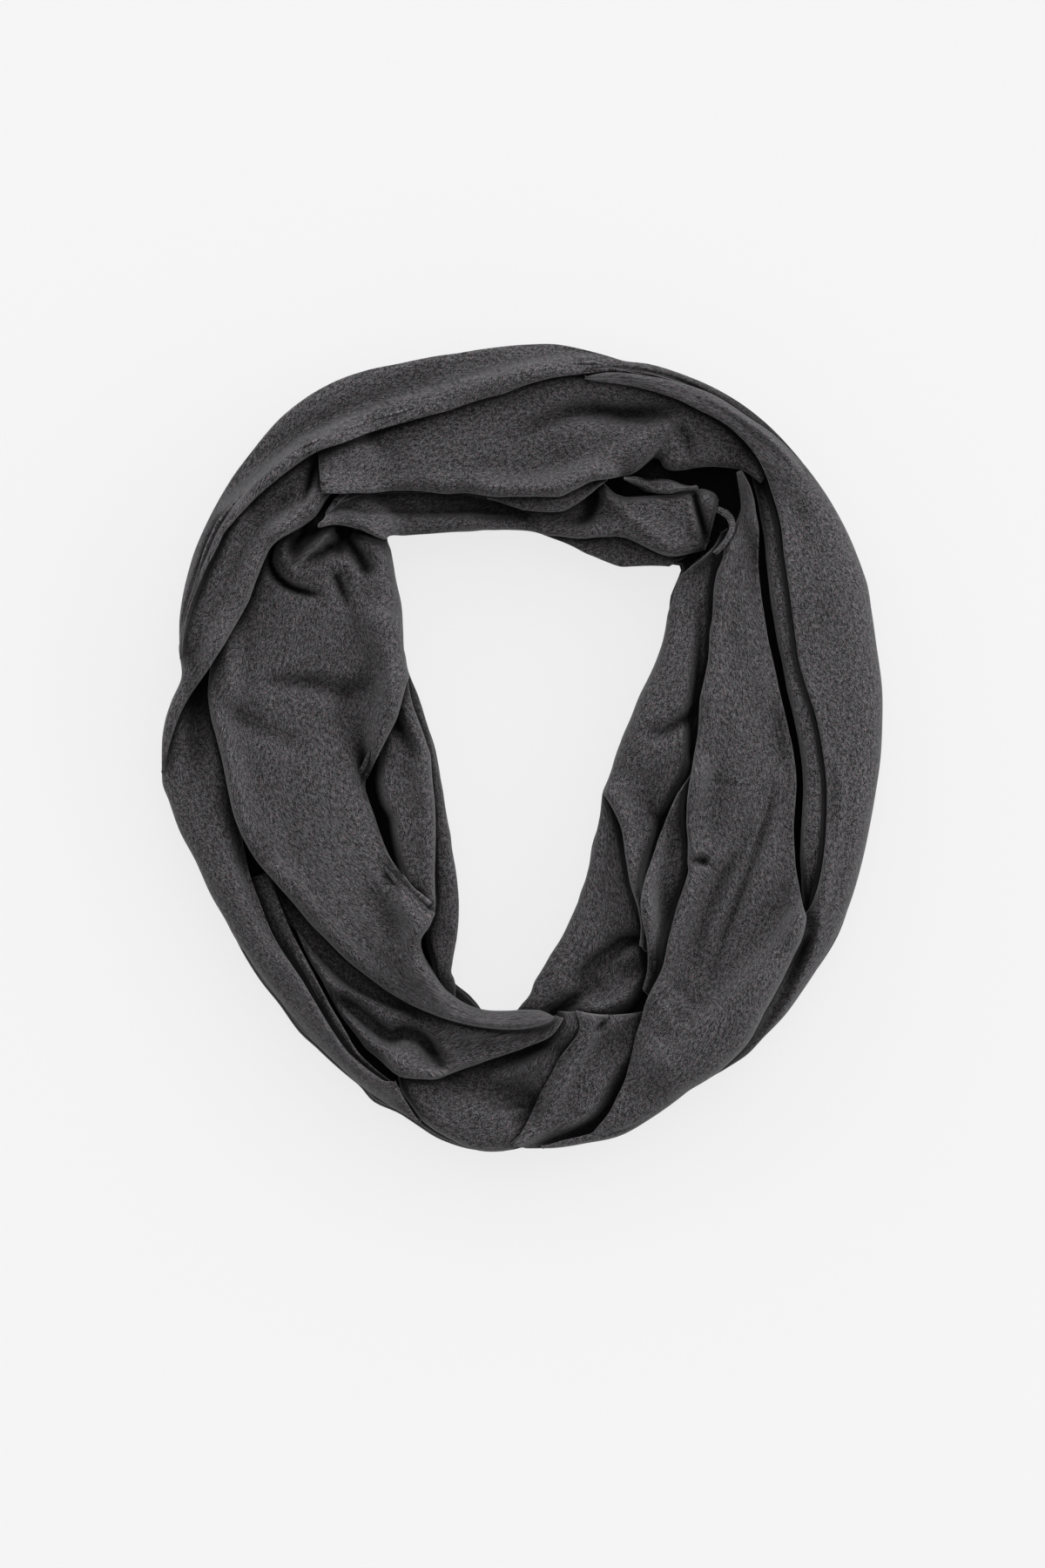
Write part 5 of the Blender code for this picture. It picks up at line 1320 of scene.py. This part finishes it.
def light_tent(look):
    """Soft white light from low down all round, stronger from one side and weak from overhead."""
    finish = Finish(bpy.data.worlds.new("light_tent"))
    way = finish.add("ShaderNodeTexCoord", {}, {}, "Generated")
    up = finish.add("ShaderNodeSeparateXYZ", {}, {0: way}, "Z")
    lean = finish.add("ShaderNodeVectorMath", {"operation": "DOT_PRODUCT"}, {0: way, 1: look.tent_lean}, "Value")
    level = look.tent_low - up.soft_step(TENT_LOW_TO, TENT_HIGH_FROM) * (look.tent_low - look.tent_high)
    strength = level * (1.0 + lean * look.tent_side)
    glow = finish.add("ShaderNodeBackground", {}, {"Color": (1.0, 1.0, 1.0, 1.0), "Strength": strength})
    bpy.context.scene.world = finish.close(glow, "ShaderNodeOutputWorld")


class SCARF_OT_stage(bpy.types.Operator):
    """Set up the white table, the soft light and the camera straight above"""

    bl_idname = "scarf.stage"
    bl_label = "Table, light and camera"

    FLOOR_HALF = 12.0
    FLOOR_DROP = 0.0003
    SEEN_LENGTH = 0.792
    SEEN_MIDDLE = (0.0002, -0.0178)
    SCALE_HEIGHT = 0.008
    CAMERA_HEIGHT = 3.0
    SENSOR = 36.0
    KEY_PLACE = (0.35, 1.75, 1.75)
    KEY_SIZE = 1.6
    SIGHT_END = 100.0

    def execute(self, context):
        look = context.scene.scarf_look
        scene = context.scene
        half = self.FLOOR_HALF
        mesh = bpy.data.meshes.new("table")
        mesh.from_pydata([(x, y, -self.FLOOR_DROP) for x, y in ((-half, -half), (half, -half), (half, half),
                                                                (-half, half))], [], [(0, 1, 2, 3)])
        mesh.materials.append(floor_finish(look))
        floor = bpy.data.objects.new("table", mesh)
        scene.collection.objects.link(floor)
        light_tent(look)
        lamp = bpy.data.lights.new("key", "AREA")
        lamp.size = self.KEY_SIZE
        lamp.energy = look.key_power
        key = bpy.data.objects.new("key", lamp)
        key.location = self.KEY_PLACE
        x, y, z = self.KEY_PLACE
        key.rotation_euler = (-math.atan2(y, z), math.atan2(x, math.hypot(y, z)), 0.0)
        scene.collection.objects.link(key)
        camera = bpy.data.cameras.new("camera")
        camera.sensor_width = self.SENSOR
        camera.lens = self.SENSOR * self.CAMERA_HEIGHT / self.SEEN_LENGTH
        camera.clip_end = self.SIGHT_END
        holder = bpy.data.objects.new("camera", camera)
        holder.location = (*self.SEEN_MIDDLE, self.CAMERA_HEIGHT + self.SCALE_HEIGHT)
        scene.collection.objects.link(holder)
        scene.camera = holder
        scene.view_settings.view_transform = "Standard"
        return {"FINISHED"}


OPERATORS = (SCARF_OT_hidden_layers, SCARF_OT_under_folds, SCARF_OT_lower_left, SCARF_OT_left_side,
             SCARF_OT_top_inner, SCARF_OT_top_outer, SCARF_OT_right_side, SCARF_OT_knot, SCARF_OT_stage)


class SCARF_PT_panel(bpy.types.Panel):
    """Sizes, looks and steps of the scarf"""

    bl_label = "Infinity scarf"
    bl_space_type = "VIEW_3D"
    bl_region_type = "UI"
    bl_category = "Scarf"

    def draw(self, context):
        for group in (context.scene.scarf_sizes, context.scene.scarf_look):
            for name in group.__annotations__:
                self.layout.prop(group, name)
        for operator in OPERATORS:
            self.layout.operator(operator.bl_idname)


CLASSES = (ScarfSizes, ScarfLook, *OPERATORS, SCARF_PT_panel)


def register():
    """Makes the properties, operators and panel known to Blender."""
    for entry in CLASSES:
        bpy.utils.register_class(entry)
    bpy.types.Scene.scarf_sizes = bpy.props.PointerProperty(type=ScarfSizes)
    bpy.types.Scene.scarf_look = bpy.props.PointerProperty(type=ScarfLook)


def unregister():
    """Takes them away again."""
    del bpy.types.Scene.scarf_look
    del bpy.types.Scene.scarf_sizes
    for entry in reversed(CLASSES):
        bpy.utils.unregister_class(entry)


def main():
    """Lays the whole scarf, stretch by stretch, then sets the stage."""
    register()
    for operator in OPERATORS:
        group, name = operator.bl_idname.split(".")
        getattr(getattr(bpy.ops, group), name)()


if __name__ == "__main__":
    main()
